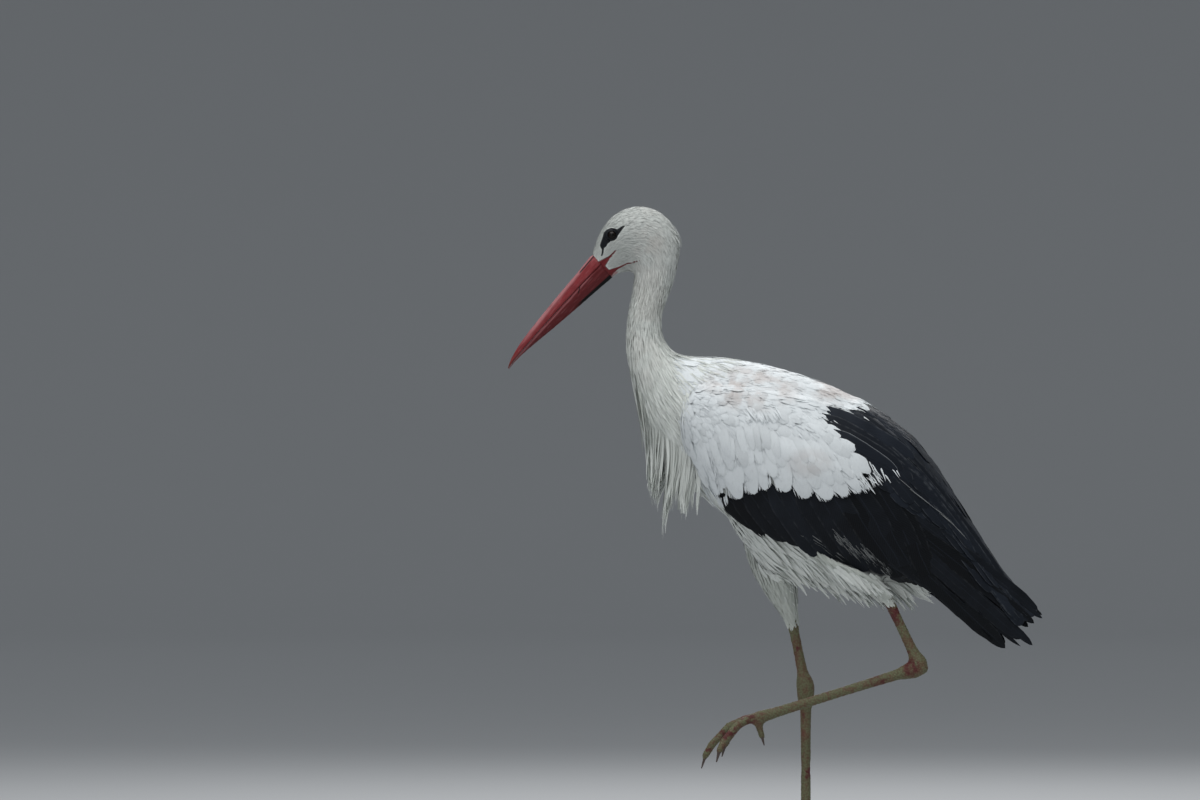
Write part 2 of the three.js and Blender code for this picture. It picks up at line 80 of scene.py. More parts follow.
# Middle line of the body from the bill's base over the head and neck to the tail, as (x, z).
BODY_LINE = np.array([
    (0.266, 0.716), (0.240, 0.737), (0.214, 0.752), (0.192, 0.748), (0.181, 0.722), (0.185, 0.690),
    (0.192, 0.655), (0.191, 0.620), (0.174, 0.582), (0.140, 0.548), (0.085, 0.515), (0.020, 0.475),
    (-0.045, 0.440), (-0.110, 0.398), (-0.170, 0.345), (-0.225, 0.278),
])
EYE = np.array([0.2328, 0.0141, 0.7555])
EYE_RADIUS = 0.008
# The lids' rim and the folds round it: how far out from the opening, how wide and how high.
LID_FOLDS = ((0.0007, 0.0006, 0.0008), (0.0020, 0.0005, -0.0003), (0.0031, 0.0006, 0.00025))
BILL_BASE = np.array([0.245, 0.0, 0.719])
BILL_TIP = np.array([0.3575, 0.0, 0.594])
BILL_AXIS = (BILL_TIP - BILL_BASE) / np.linalg.norm(BILL_TIP - BILL_BASE)


# What one step makes for the next ones: the form, the owners and the finishes.
shared = {}


# ---- Selecting, copying and modifying pieces ----


def only(*pieces):
    """Select these pieces and no others, with the first one active."""
    bpy.ops.object.select_all(action="DESELECT")
    for piece in pieces:
        piece.select_set(True)
    bpy.context.view_layer.objects.active = pieces[0]


def copied(name, nodes):
    """A new piece that joins copies of some CAD nodes, their loose triangles merged."""
    only(*(frame["nodes"][node] for node in nodes))
    bpy.ops.object.duplicate()
    copies = list(bpy.context.selected_objects)
    for copy in copies:
        for key in list(copy.keys()):
            del copy[key]
    bpy.context.view_layer.objects.active = copies[0]
    bpy.ops.object.parent_clear(type="CLEAR_KEEP_TRANSFORM")
    if len(copies) > 1:
        bpy.ops.object.join()
    piece = bpy.context.object
    piece.name = piece.data.name = name
    bpy.ops.object.mode_set(mode="EDIT")
    bpy.ops.mesh.select_all(action="SELECT")
    bpy.ops.mesh.remove_doubles(threshold=1e-6)
    bpy.ops.object.mode_set(mode="OBJECT")
    return piece


def modified(piece, kind, **settings):
    """Add a modifier to a piece and apply it."""
    only(piece)
    modifier = piece.modifiers.new(kind, kind)
    for key, value in settings.items():
        setattr(modifier, key, value)
    bpy.ops.object.modifier_apply(modifier=modifier.name)


def remeshed(piece, voxel, smoothing=4):
    """Give a piece one even, closed skin of small faces, and smooth it a little."""
    modified(piece, "REMESH", mode="VOXEL", voxel_size=voxel)
    keep_largest(piece)
    modified(piece, "SMOOTH", factor=0.5, iterations=smoothing)


def keep_largest(piece):
    """Delete all but the largest of a piece's separate shells."""
    shape = bmesh.new()
    shape.from_mesh(piece.data)
    left = set(shape.verts)
    shells = []
    while left:
        seed = left.pop()
        shell, edge = {seed}, [seed]
        while edge:
            for link in edge.pop().link_edges:
                for vert in link.verts:
                    if vert in left:
                        left.discard(vert)
                        shell.add(vert)
                        edge.append(vert)
        shells.append(shell)
    shells.sort(key=len)
    for shell in shells[:-1]:
        bmesh.ops.delete(shape, geom=list(shell), context="VERTS")
    shape.to_mesh(piece.data)
    shape.free()


def read(collection, key, width):
    """A numpy array of one property of many mesh elements."""
    values = np.empty(len(collection) * width, np.float32)
    collection.foreach_get(key, values)
    return values.reshape(-1, width).astype(float) if width > 1 else values.astype(float)


def points_of(piece):
    return read(piece.data.vertices, "co", 3)


def set_points(piece, points):
    piece.data.vertices.foreach_set("co", points.astype(np.float32).ravel())
    piece.data.update()


def normals_of(piece):
    return read(piece.data.vertex_normals, "vector", 3)


def evened(values, edges, rounds):
    """Spread vertex values towards their neighbours, a number of times."""
    shape = values.shape
    values = values.reshape(len(values), -1)
    ends = np.concatenate([edges, edges[:, ::-1]])
    count = np.maximum(np.bincount(ends[:, 0], minlength=len(values)), 1)[:, None]
    for _ in range(rounds):
        near = np.stack([
            np.bincount(ends[:, 0], weights=column[ends[:, 1]], minlength=len(values)) for column in values.T
        ], axis=1)
        values = (values + near / count) / 2
    return values.reshape(shape)


def edges_of(piece):
    return read(piece.data.edges, "vertices", 2).astype(int)


def add_values(piece, name, values):
    """Store one number for each vertex, for the materials to read."""
    attribute = piece.data.attributes.new(name, "FLOAT", "POINT")
    attribute.data.foreach_set("value", values.astype(np.float32))


def finished(piece, material, slot, *nodes, smooth=180):
    """Smooth a piece, give it its finish, and let it stand for its CAD nodes."""
    only(piece)
    bpy.ops.object.shade_smooth_by_angle(angle=math.radians(smooth))
    piece.data.materials.clear()
    piece.data.materials.append(material)
    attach(piece, "root")
    if nodes:
        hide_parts(*nodes)


# ---- Vectors ----


def unit(vectors):
    return vectors / np.maximum(np.linalg.norm(vectors, axis=-1, keepdims=True), 1e-12)


def norms(vectors):
    return np.linalg.norm(vectors, axis=-1)


def dots(a, b):
    return (a * b).sum(-1, keepdims=True)


def across_normal(vectors, normals):
    """The part of each vector that lies in the surface, as a unit vector."""
    return unit(vectors - normals * dots(vectors, normals))


def ramp(low, high, values):
    """0 below low, 1 above high, smooth between them."""
    share = np.clip((values - low) / (high - low), 0, 1)
    return share * share * (3 - 2 * share)


def along_curve(corners, shares):
    """Places along a line of corners, at shares of its length."""
    corners = np.asarray(corners, float)
    lengths = np.concatenate([[0], np.cumsum(norms(np.diff(corners, axis=0)))])
    return np.stack([np.interp(shares * lengths[-1], lengths, column) for column in corners.T], axis=1)


class BodyLine:
    """The body's middle line: how far along it a point is, and which way the plumage lies there."""

    def __init__(self, corners, samples=90):
        self.shares = np.linspace(0, 1, samples)
        line = along_curve(corners, self.shares)
        for _ in range(4):
            line[1:-1] = (line[:-2] + 2 * line[1:-1] + line[2:]) / 4
        self.points = np.insert(line, 1, 0.0, axis=1)
        self.tangents = unit(np.gradient(self.points, axis=0))

    def weights(self, points):
        squares = ((points[:, None, :] - self.points[None]) ** 2).sum(-1)
        weights = (squares.min(1, keepdims=True) / squares) ** 5
        return weights / weights.sum(1, keepdims=True)

    def share(self, points):
        """How far along the line each point is, from 0 at the bill to 1 at the tail."""
        return self.weights(points) @ self.shares

    def flow(self, points):
        """The direction from bill to tail near each point."""
        return unit(self.weights(points) @ self.tangents)

    def round_share(self, points):
        """How far round the body each point is, from 0 to 1, with 0.5 on the back."""
        weights = self.weights(points)
        out = points - weights @ self.points
        tangent = unit(weights @ self.tangents)
        up = np.stack([-tangent[:, 2], np.zeros(len(out)), tangent[:, 0]], axis=1)
        up *= np.sign(-tangent[:, :1] + 1e-9) * -1
        return np.arctan2(out[:, 1], -(out * up).sum(1)) / (2 * math.pi) + 0.5


LINE = BodyLine(BODY_LINE)


class Form:
    """A smooth surface of the bird that feathers are laid on."""

    def __init__(self, piece, rounds=12):
        mesh = piece.data
        mesh.calc_loop_triangles()
        self.points = points_of(piece)
        self.normals = unit(evened(normals_of(piece), edges_of(piece), rounds))
        self.faces = read(mesh.loop_triangles, "vertices", 3).astype(int)
        self.tree = BVHTree.FromPolygons(self.points.tolist(), self.faces.tolist())
        self.depths = np.full(len(self.points), 0.004)

    def nearest(self, points):
        """The nearest places of the form, and its smooth outward directions there."""
        places = np.empty((len(points), 3))
        hits = np.empty(len(points), int)
        for i, point in enumerate(points.tolist()):
            places[i], _, hits[i], _ = self.tree.find_nearest(point)
        return places, unit(self.normals[self.faces[hits]].mean(1))

    def depth(self, points):
        """How deep the coat is at these places: depths holds it for every vertex."""
        hits = [self.tree.find_nearest(point)[2] for point in points.tolist()]
        return self.depths[self.faces[hits]].mean(1)

    def from_side(self, side, flat, reach=0.01):
        """Places of the form seen from one side (1 is the left), at these x and z.

        Beyond the form's outline it gives the nearest place to a point that far from the middle."""
        far = 0.3 * side
        places = np.empty((len(flat), 3))
        for i, (x, z) in enumerate(flat.tolist()):
            hit = self.tree.ray_cast((x, far, z), (0, -side, 0))[0]
            if hit is None or hit.y * side < -0.002:
                hit = self.tree.find_nearest((x, reach * side, z))[0]
            places[i] = hit
        return places


# ---- Shader maths ----


class Value:
    """A node's output that takes part in sums: an expression on it adds its Math nodes."""

    def __init__(self, tree, socket):
        self.tree = tree
        self.socket = socket

    def maths(self, operation, *values):
        node = self.tree.nodes.new("ShaderNodeMath")
        node.operation = operation
        for place, value in zip(node.inputs, values):
            link(self.tree, value, place)
        return Value(self.tree, node.outputs[0])

    def __add__(self, other):
        return self.maths("ADD", self, other)

    __radd__ = __add__

    def __sub__(self, other):
        return self.maths("SUBTRACT", self, other)

    def __rsub__(self, other):
        return self.maths("SUBTRACT", other, self)

    def __mul__(self, other):
        return self.maths("MULTIPLY", self, other)

    __rmul__ = __mul__

    def __truediv__(self, other):
        return self.maths("DIVIDE", self, other)

    def __pow__(self, other):
        return self.maths("POWER", self, other)

    def size(self):
        return self.maths("ABSOLUTE", self)

    def sine(self):
        return self.maths("SINE", self)

    def most(self, other):
        return self.maths("MAXIMUM", self, other)

    def between(self, low, high):
        """0 at low, 1 at high, smooth between them."""
        node = self.tree.nodes.new("ShaderNodeMapRange")
        node.interpolation_type = "SMOOTHSTEP"
        for place, value in zip(node.inputs, (self, low, high, 0.0, 1.0)):
            link(self.tree, value, place)
        return Value(self.tree, node.outputs[0])


def link(tree, value, place):
    """Feed a socket with a value of this tree, or set it to a plain number or an opaque colour."""
    if isinstance(value, Value):
        tree.links.new(value.socket, place)
    else:
        place.default_value = (*value, 1.0) if place.type == "RGBA" else value


class Finish:
    """A material with one Principled shader, and a short way of adding nodes to it."""

    def __init__(self, name, **constants):
        self.material = bpy.data.materials.new(name)
        self.material.use_nodes = True
        self.tree = self.material.node_tree
        self.shader = self.tree.nodes["Principled BSDF"]
        self.set(**constants)

    def set(self, **sockets):
        """Set or link the shader's sockets: Base_Color is Base Color, and so on."""
        for name, value in sockets.items():
            link(self.tree, value, self.shader.inputs[name.replace("_", " ")])

    def node(self, kind, settings=None, output=0, **sockets):
        """Any node: its type, its settings, then the values or links of its sockets."""
        node = self.tree.nodes.new(kind)
        for key, value in (settings or {}).items():
            setattr(node, key, value)
        for name, value in sockets.items():
            link(self.tree, value, node.inputs[name.replace("_", " ")])
        return Value(self.tree, node.outputs[output])

    def place(self):
        """Object coordinates, which are the bird's own, in metres."""
        return self.node("ShaderNodeTexCoord", output=3)

    def axes(self):
        """The x, y and z of the place, as three values."""
        node = self.tree.nodes.new("ShaderNodeSeparateXYZ")
        link(self.tree, self.place(), node.inputs[0])
        return [Value(self.tree, socket) for socket in node.outputs]

    def stored(self, *names):
        """Numbers that are stored on the piece's vertices."""
        return [self.node("ShaderNodeAttribute", {"attribute_name": name}, output=2) for name in names]

    def noise(self, scale, detail=3.0, stretch=None):
        """Soft noise over the piece, with blotches about 1/scale metres across."""
        place = self.place()
        if stretch:
            place = self.node("ShaderNodeMapping", Vector=place, Scale=stretch)
        return self.node("ShaderNodeTexNoise", Vector=place, Scale=scale, Detail=detail)

    def mix(self, share, first, second):
        """A colour between two others."""
        node = self.tree.nodes.new("ShaderNodeMix")
        node.data_type = "RGBA"
        for name, value in (("Factor_Float", share), ("A_Color", first), ("B_Color", second)):
            place = next(socket for socket in node.inputs if socket.identifier == name)
            link(self.tree, value, place)
        output = next(socket for socket in node.outputs if socket.identifier == "Result_Color")
        return Value(self.tree, output)

    def bump(self, height, distance, strength=1.0):
        """Let a height, from 0 to 1, roughen the surface by a distance in metres."""
        normal = self.node("ShaderNodeBump", Height=height, Distance=distance, Strength=strength)
        self.set(Normal=normal)

    def blob(self, x, z, across, high):
        """1 in the middle of an ellipse in the side view, 0 outside it."""
        here_x, _, here_z = self.axes()
        square = ((here_x - x) / across) ** 2 + ((here_z - z) / high) ** 2
        return 1 - square.between(0.0, 1.0)


# ---- Feathers ----


def half_width(root, swell, fullness, blunt, least=0.0008):
    """Half width along a feather from 0 to 1: root at its root, whole from swell on, then its tip."""
    return lambda shares: (root + (1 - root) * ramp(0, swell, shares)) * np.maximum(
        1 - shares ** fullness, least) ** blunt


POINTED = half_width(0.45, 0.35, 1, 0.55, least=0.02)
ROUNDED = half_width(0.5, 0.5, 4, 0.5)
LONG_VANE = half_width(0.35, 0.3, 9, 0.5)
TAPERING = half_width(0.35, 0.3, 9, 0.6)


class Style:
    """How one kind of feather is built: its rings, columns, outline and relief."""

    def __init__(self, rings, columns, outline, camber, ragged=0.0, tip_dense=1.0, shaft=0.0):
        self.shares = 1 - (1 - np.linspace(0, 1, rings)) ** tip_dense
        self.columns = np.linspace(-1, 1, columns)
        self.outline = outline
        self.camber = camber
        self.ragged = ragged
        self.shaft = shaft


TUFT = Style(4, 3, POINTED, camber=0.11)
STRAND = Style(6, 3, POINTED, camber=0.18, ragged=0.2)
PLUME = Style(12, 3, POINTED, camber=0.18, ragged=0.25)
DOWN = Style(7, 3, POINTED, camber=0.18, ragged=0.35)
LOCK = Style(9, 5, POINTED, camber=0.14, ragged=0.25)
CONTOUR = Style(10, 5, ROUNDED, camber=0.10, ragged=0.16, tip_dense=1.8)
COVERT = Style(13, 7, ROUNDED, camber=0.07, ragged=0.10, tip_dense=1.8, shaft=0.02)
FLIGHT = Style(20, 7, LONG_VANE, camber=0.05, ragged=0.03, tip_dense=1.5, shaft=0.03)
QUILL = Style(18, 7, TAPERING, camber=0.06, ragged=0.10, tip_dense=1.5, shaft=0.03)


class Plumage:
    """Collects feathers as arrays, and joins them into one piece."""

    def __init__(self, name, seed):
        self.name = name
        self.random = np.random.default_rng(seed)
        self.points, self.faces, self.caps = [], [], []
        self.values = {}
        self.patches = []
        self.count = 0

    def drawn(self, size, number):
        """A size for each of some feathers: a pair stands for numbers drawn between the two."""
        return self.random.uniform(*size, number) if isinstance(size, tuple) else size

    def strayed(self, ways, amount):
        """Directions that each stray from these a little."""
        return ways + self.random.normal(0, amount, ways.shape)

    def lay(self, style, form, roots, aims, lengths, rises, halves, flow, turn=0.3, hang=-2.0, **manner):
        """Lay feathers over a form: laid says how they run there, and add how they bend and turn."""
        rises = [self.drawn(rise, len(roots)) for rise in rises]
        self.add(style, *laid(form, roots, aims, lengths, style, rises, flow, turn, hang), halves, **manner)

    def span(self, style, form, roots, goals, rises, halves, flat=0.0, **manner):
        """Lay feathers straight from roots to goals: spanned says how they run there."""
        rises = [self.drawn(rise, len(roots)) for rise in rises]
        self.add(style, *spanned(form, roots, goals, style, rises, flat), halves, **manner)

    def strew(self, style, form, side, path, count, stray, reach, lean, rises, halves, crowd=1, flat=0.0):
        """Loose strands that end near a path drawn in the side view, in millimetres.

        reach holds their lengths, in metres, lean the way back to their roots and how much it varies.
        A crowd over 1 gathers them at the path's start."""
        random = self.random
        ends = between_rows(path, random.random(count) ** crowd)
        ends = (ends + random.normal(0, stray, (count, 2))) / 1000
        back = random.uniform(*reach, (count, 1)) * (random.normal(0, lean[2], (count, 2)) + lean[:2])
        goals, roots = form.from_side(side, ends), form.from_side(side, ends + back)
        self.span(style, form, roots, goals, rises, halves, flat, roll=0.2)

    def string(self, style, form, side, path, count, last, lengths, stray, rises, halves):
        """Strands that follow a path drawn in the side view, from starts up to its share last.

        The path, their lengths and how far they stray from it are in millimetres."""
        starts = self.random.uniform(0, last, count)
        lengths = self.random.uniform(*lengths, count)
        rises = [self.drawn(rise, count) for rise in rises]
        if np.ndim(stray) == 0:
            stray = self.random.normal(0, stray, (count, 2))
        total = np.linalg.norm(np.diff(np.asarray(path, float), axis=0), axis=1).sum()
        roots, goals = (
            form.from_side(side, (along_curve(path, shares) + stray) / 1000)
            for shares in (starts, np.minimum(starts + lengths / total, 1)))
        self.span(style, form, roots, goals, rises, halves, roll=0.2)

    def add(self, style, centres, normals, headings, halves, marks=0.0, sweep=0.0, roll=0.15):
        """Add feathers, given their middle lines as arrays of feather, ring and axis.

        sweep says how far, in half widths, their tips bend aside, and roll how far they turn."""
        number, rings = centres.shape[:2]
        columns = style.columns
        random = self.random
        halves = self.drawn(halves, number)
        bend = random.normal(0, sweep, (number, 1)) if sweep else 0.0
        sides = unit(np.cross(normals, headings))
        turn = random.normal(0, roll, (number, 1, 1))
        ups = unit(np.cross(headings, sides))
        sides, ups = sides * np.cos(turn) + ups * np.sin(turn), ups * np.cos(turn) - sides * np.sin(turn)
        half = halves[:, None] * style.outline(style.shares)[None]
        centres = centres + sides * (bend * style.shares ** 2 * halves[:, None])[..., None]
        spread = half[..., None] * columns
        edge = 1 - style.ragged * random.random((number, rings, 2))
        spread[..., 0] *= edge[..., 0]
        spread[..., -1] *= edge[..., 1]
        height = style.camber * half[..., None] * (1 - columns ** 2)
        height[..., len(columns) // 2] += style.shaft * halves[:, None] * (1 - style.shares)
        points = centres[:, :, None] + sides[:, :, None] * spread[..., None]
        points += ups[:, :, None] * height[..., None]
        self.index(number, rings, len(columns))
        marks = np.broadcast_to(marks, number)[:, None, None]
        offsets = np.stack(np.broadcast_arrays(style.shares[:, None] - 0.5, columns[None] / 2), axis=-1)
        self.keep(points, centres[:, 0], offsets, along=style.shares[:, None], across=columns, mark=marks)

    def add_plates(self, rings):
        """Add six-sided plates, given as arrays of plate, ring (the foot and the rim), corner and axis."""
        number, levels, corners = rings.shape[:3]
        low = np.arange(corners)
        next_low = (low + 1) % corners
        quads = np.stack([low, next_low, next_low + corners, low + corners], axis=-1)
        self.number_faces(quads, np.stack([low[::-1], low + corners]), number, levels * corners)
        turns = low * 2 * math.pi / corners
        spread = np.stack([np.cos(turns), np.sin(turns)], axis=-1) / 2
        self.keep(rings, rings[:, 0, 0], np.stack([spread, spread * 0.7]), along=0.0, across=0.0, mark=0.0)

    def index(self, number, rings, columns):
        """Faces of the new feathers: the vane, its flat underside, and a cap at each end."""
        ring = np.arange(rings - 1)[:, None] * columns
        top = ring + np.arange(columns - 1)
        quads = np.stack([top, top + columns, top + columns + 1, top + 1], axis=-1).reshape(-1, 4)
        last = ring[:, 0] + columns - 1
        under = np.stack([last, last + columns, ring[:, 0] + columns, ring[:, 0]], axis=-1)
        quads = np.concatenate([quads, under])
        ends = np.stack([np.arange(columns), (rings - 1) * columns + np.arange(columns)[::-1]])
        self.number_faces(quads, ends, number, rings * columns)

    def number_faces(self, quads, ends, number, size):
        """The faces and caps of one new shape of some points, repeated for all the new ones."""
        starts = self.count + size * np.arange(number)[:, None, None]
        self.faces.append((starts + quads).reshape(-1, 4))
        self.caps.append((starts + ends).reshape(-1, ends.shape[1]))
        self.count += number * size

    def keep(self, points, roots, offsets, **values):
        """Keep the new points, their patch of the map at each root, and numbers for the materials."""
        shape = points.shape[:3]
        self.points.append(points.reshape(-1, 3))
        values["tint"] = self.random.random(shape[0])[:, None, None]
        for name, value in values.items():
            self.values.setdefault(name, []).append(np.broadcast_to(value, shape).ravel())
        self.patches.append((np.stack([LINE.share(roots), LINE.round_share(roots)], axis=1), offsets))

    def unwrapped(self):
        """The OFBake place of every vertex: roots spread over the map, each with a patch 0.003 across."""
        roots = np.concatenate([place for place, _ in self.patches])
        low, high = roots.min(0), roots.max(0)
        parts = []
        for place, offsets in self.patches:
            middle = 0.01 + 0.98 * (place - low) / np.maximum(high - low, 1e-6)
            parts.append((middle[:, None, None] + 0.003 * offsets).reshape(-1, 2))
        return np.concatenate(parts)

    def build(self, finish, *nodes, slot="white_feathers"):
        """Join the feathers into one mesh piece, with one of the shared finishes."""
        mesh = bpy.data.meshes.new(self.name)
        points = np.concatenate(self.points)
        loops = np.concatenate([*(face.ravel() for face in self.faces), *(cap.ravel() for cap in self.caps)])
        sizes = np.concatenate([
            *(np.full(len(face), 4) for face in self.faces),
            *(np.full(len(cap), cap.shape[1]) for cap in self.caps),
        ])
        mesh.vertices.add(len(points))
        mesh.vertices.foreach_set("co", points.astype(np.float32).ravel())
        mesh.loops.add(len(loops))
        mesh.loops.foreach_set("vertex_index", loops.astype(np.int32))
        mesh.polygons.add(len(sizes))
        mesh.polygons.foreach_set("loop_start", (np.cumsum(sizes) - sizes).astype(np.int32))
        mesh.update(calc_edges=True)
        unwrap = mesh.uv_layers.new(name="OFBake")
        unwrap.data.foreach_set("uv", self.unwrapped()[loops].astype(np.float32).ravel())
        piece = bpy.data.objects.new(self.name, mesh)
        bpy.context.scene.collection.objects.link(piece)
        for name, values in self.values.items():
            add_values(piece, name, np.concatenate(values))
        finished(piece, shared[finish], slot, *nodes, smooth=60)
        triangles = int((sizes - 2).sum())
        print(f"{self.name}: {triangles} triangles")
        if triangles >= 200000:
            raise ValueError(f"{self.name} has {triangles} triangles")


def laid(form, roots, aims, lengths, style, rises, flow, turn, hang):
    """Middle lines that run over a form, from their roots along their aims.

    rises holds the height over the form at the root and at the tip. flow gives the lie of the
    plumage at a place, and turn says how far each step bends towards it. Feathers hang free from
    where the form faces down more steeply than hang."""
    places, normals = form.nearest(roots)
    headings = across_normal(aims, normals)
    lines = []
    low, high = (np.broadcast_to(rise, len(roots)) for rise in rises)
    for k, share in enumerate(style.shares):
        rise = low + (high - low) * (1 - (1 - share) ** 2.2)
        lines.append((places + normals * rise[:, None], normals, headings))
        if share == style.shares[-1]:
            break
        step = lengths * (style.shares[k + 1] - share)
        ahead, before = places + headings * step[:, None], normals
        places, normals = form.nearest(ahead)
        free = (normals[:, 2] < hang) & (before[:, 2] < hang + 0.5)
        places[free], normals[free] = ahead[free], before[free]
        headings = headings + turn * flow(places)
        headings = np.where(free[:, None], unit(headings), across_normal(headings, normals))
    return [np.stack(parts, axis=1) for parts in zip(*lines)]


def spanned(form, roots, goals, style, rises, flat):
    """Middle lines that run over a form straight from their roots to their goals.

    Past the form's outline they run on freely. flat turns the vanes to face the side."""
    low, high = (np.broadcast_to(rise, len(roots)) for rise in rises)
    side = np.sign(roots[:, 1])[:, None] * np.array([0.0, 1.0, 0.0])
    lines, ups = [], []
    for share in style.shares:
        chord = roots + (goals - roots) * share
        places, normals = form.nearest(chord)
        beyond = dots(chord - places, normals)[:, 0] > 0.0002
        places[beyond, 0], places[beyond, 2] = chord[beyond, 0], chord[beyond, 2]
        normals = unit(normals + side * np.where(beyond, 2.0, flat)[:, None])
        rise = low + (high - low) * (1 - (1 - share) ** 2.2)
        lines.append(places + normals * rise[:, None])
        ups.append(normals)
    centres, normals = np.stack(lines, axis=1), np.stack(ups, axis=1)
    return [centres, normals, across_normal(np.gradient(centres, axis=1), normals)]


def between_rows(rows, shares):
    """Rows of numbers read at shares of their count, in between if need be."""
    rows = np.asarray(rows, float)
    places, steps = shares * (len(rows) - 1), np.arange(len(rows))
    return np.stack([np.interp(places, steps, column) for column in rows.T], axis=1)


def tree_of(points):
    """A search tree of these points."""
    tree = KDTree(len(points))
    for i, point in enumerate(points.tolist()):
        tree.insert(point, i)
    tree.balance()
    return tree


def scattered(form, spacing, wanted, seed):
    """Roots spread evenly over part of a form, with a spacing that may be a function of the place."""
    random = np.random.default_rng(seed)
    gap_at = spacing if callable(spacing) else lambda points: np.full(len(points), spacing)
    corners = form.points[form.faces]
    middles = corners.mean(1)
    chosen = wanted(middles, form.normals[form.faces].mean(1))
    corners, middles = corners[chosen], middles[chosen]
    areas = norms(np.cross(corners[:, 1] - corners[:, 0], corners[:, 2] - corners[:, 0])) / 2
    density = areas / gap_at(middles) ** 2
    picks = random.choice(len(corners), int(density.sum() * 4) + 4, p=density / density.sum())
    shares = random.dirichlet((1, 1, 1), len(picks))
    points = (corners[picks] * shares[..., None]).sum(1)
    gaps = gap_at(points) * 0.82
    tree = tree_of(points)
    free = np.ones(len(points), bool)
    kept = []
    for i, point in enumerate(points.tolist()):
        if free[i]:
            kept.append(i)
            for _, j, _ in tree.find_range(point, gaps[i]):
                free[j] = False
    return points[kept]


def shortened(roots, aims, lengths, allowed):
    """Lengths cut down until each feather runs and ends on allowed ground."""
    for _ in range(6):
        good = np.ones(len(roots), bool)
        for share in (0.4, 0.7, 1.0):
            good &= allowed(roots + unit(aims) * (lengths * share)[:, None])
        lengths = np.where(good, lengths, lengths * 0.78)
    return lengths


def lock_tips(roots, flow, gap, reach, seed):
    """For every root, the tip of the lock that it belongs to: nearby roots share one."""
    order = np.random.default_rng(seed).permutation(len(roots))
    tree = tree_of(roots)
    owner = np.full(len(roots), -1)
    far = np.full(len(roots), np.inf)
    for i in order.tolist():
        if far[i] < gap:
            continue
        for _, j, distance in tree.find_range(roots[i].tolist(), gap * 1.6):
            if distance < far[j]:
                owner[j], far[j] = i, distance
    return (roots + flow(roots) * reach)[owner]


def edge_distance(outline, points):
    """Distance in metres from an outline drawn in the side view, in millimetres: positive inside it."""
    corners = np.asarray(outline, float) / 1000
    run = np.roll(corners, -1, axis=0) - corners
    away = points[:, None, [0, 2]] - corners
    share = np.clip((away * run).sum(-1) / (run * run).sum(-1), 0, 1)
    distance = norms(away - share[..., None] * run).min(1)
    return np.where(inside(outline, points), distance, -distance)


def patch(outline, points, soft):
    """1 inside an outline drawn in the side view, 0 outside it, soft over some millimetres."""
    return ramp(-soft / 1000, soft / 1000, edge_distance(outline, points))


def side_view(points):
    """x and z in millimetres."""
    return points[:, [0, 2]] * 1000


def inside(outline, points):
    """Which places lie inside an outline drawn in the side view, in millimetres."""
    corners = np.asarray(outline, float)
    x, z = side_view(points)[:, :, None].transpose(1, 0, 2)
    x0, z0 = corners.T
    x1, z1 = np.roll(corners, -1, axis=0).T
    with np.errstate(divide="ignore", invalid="ignore"):
        crossing = ((z0 > z) != (z1 > z)) & (x < (x1 - x0) * (z - z0) / (z1 - z0) + x0)
    return crossing.sum(1) % 2 == 1


# ---- Finishes ----


# Ellipses in the side view, as x, z, width and height: the legs' crimson patches, the last of which is
# painted shade at the top of the left shank under the thigh plumage, then the stained places of the
# plumage on the saddle, and on the neck, the cheek and the wing.
CRIMSON_AND_SHADE = ((-0.125, 0.238, 0.012, 0.015), (-0.086, 0.222, 0.014, 0.010), (-0.100, 0.304, 0.020, 0.026))
SADDLE = ((0.066, 0.572, 0.072, 0.034), (-0.038, 0.570, 0.040, 0.024))
NECK, CHEEK, WING = (0.190, 0.690, 0.03, 0.16), (0.187, 0.742, 0.030, 0.020), (-0.002, 0.482, 0.034, 0.022)


def feather_white(name, colours, tip, fine):
    """White plumage, greyer towards the roots, with fine streaks and soft stains."""
    look = Finish(name, Specular_IOR_Level=0.3)
    along, across, tint = look.stored("along", "across", "tint")
    streaks = look.noise(420.0, 3.0, stretch=(1.0, 1.0, 0.4))
    barbs = (along * 150 - across.size() * 22 + tint * 40).sine() * 0.5 + 0.5
    shade = look.mix(along.between(-0.15, 0.6), [share * 0.85 for share in tip], tip)
    grey = tint * tint * 0.5 + streaks.between(0.45, 0.8) * 0.25
    shade = look.mix(grey, shade, [share * 0.72 for share in tip])
    blotches = look.noise(38.0, 5.0).between(0.41, 0.58)
    saddle = look.blob(*SADDLE[0]).most(look.blob(*SADDLE[1]))
    neck = look.blob(*NECK) * 0.3
    cheek = look.blob(*CHEEK) * 0.5
    wing = look.blob(*WING) * 0.5
    stain = (blotches * 0.75 + tint * 0.25) * saddle.most(cheek).most(neck).most(wing)
    shade = look.mix(stain * 0.55, shade, colours.stain)
    look.set(Base_Color=shade, Roughness=streaks * 0.25 + 0.5)
    look.bump(streaks * 0.6 + barbs * 0.4 * fine, 0.0003, 0.3)
    return look.material


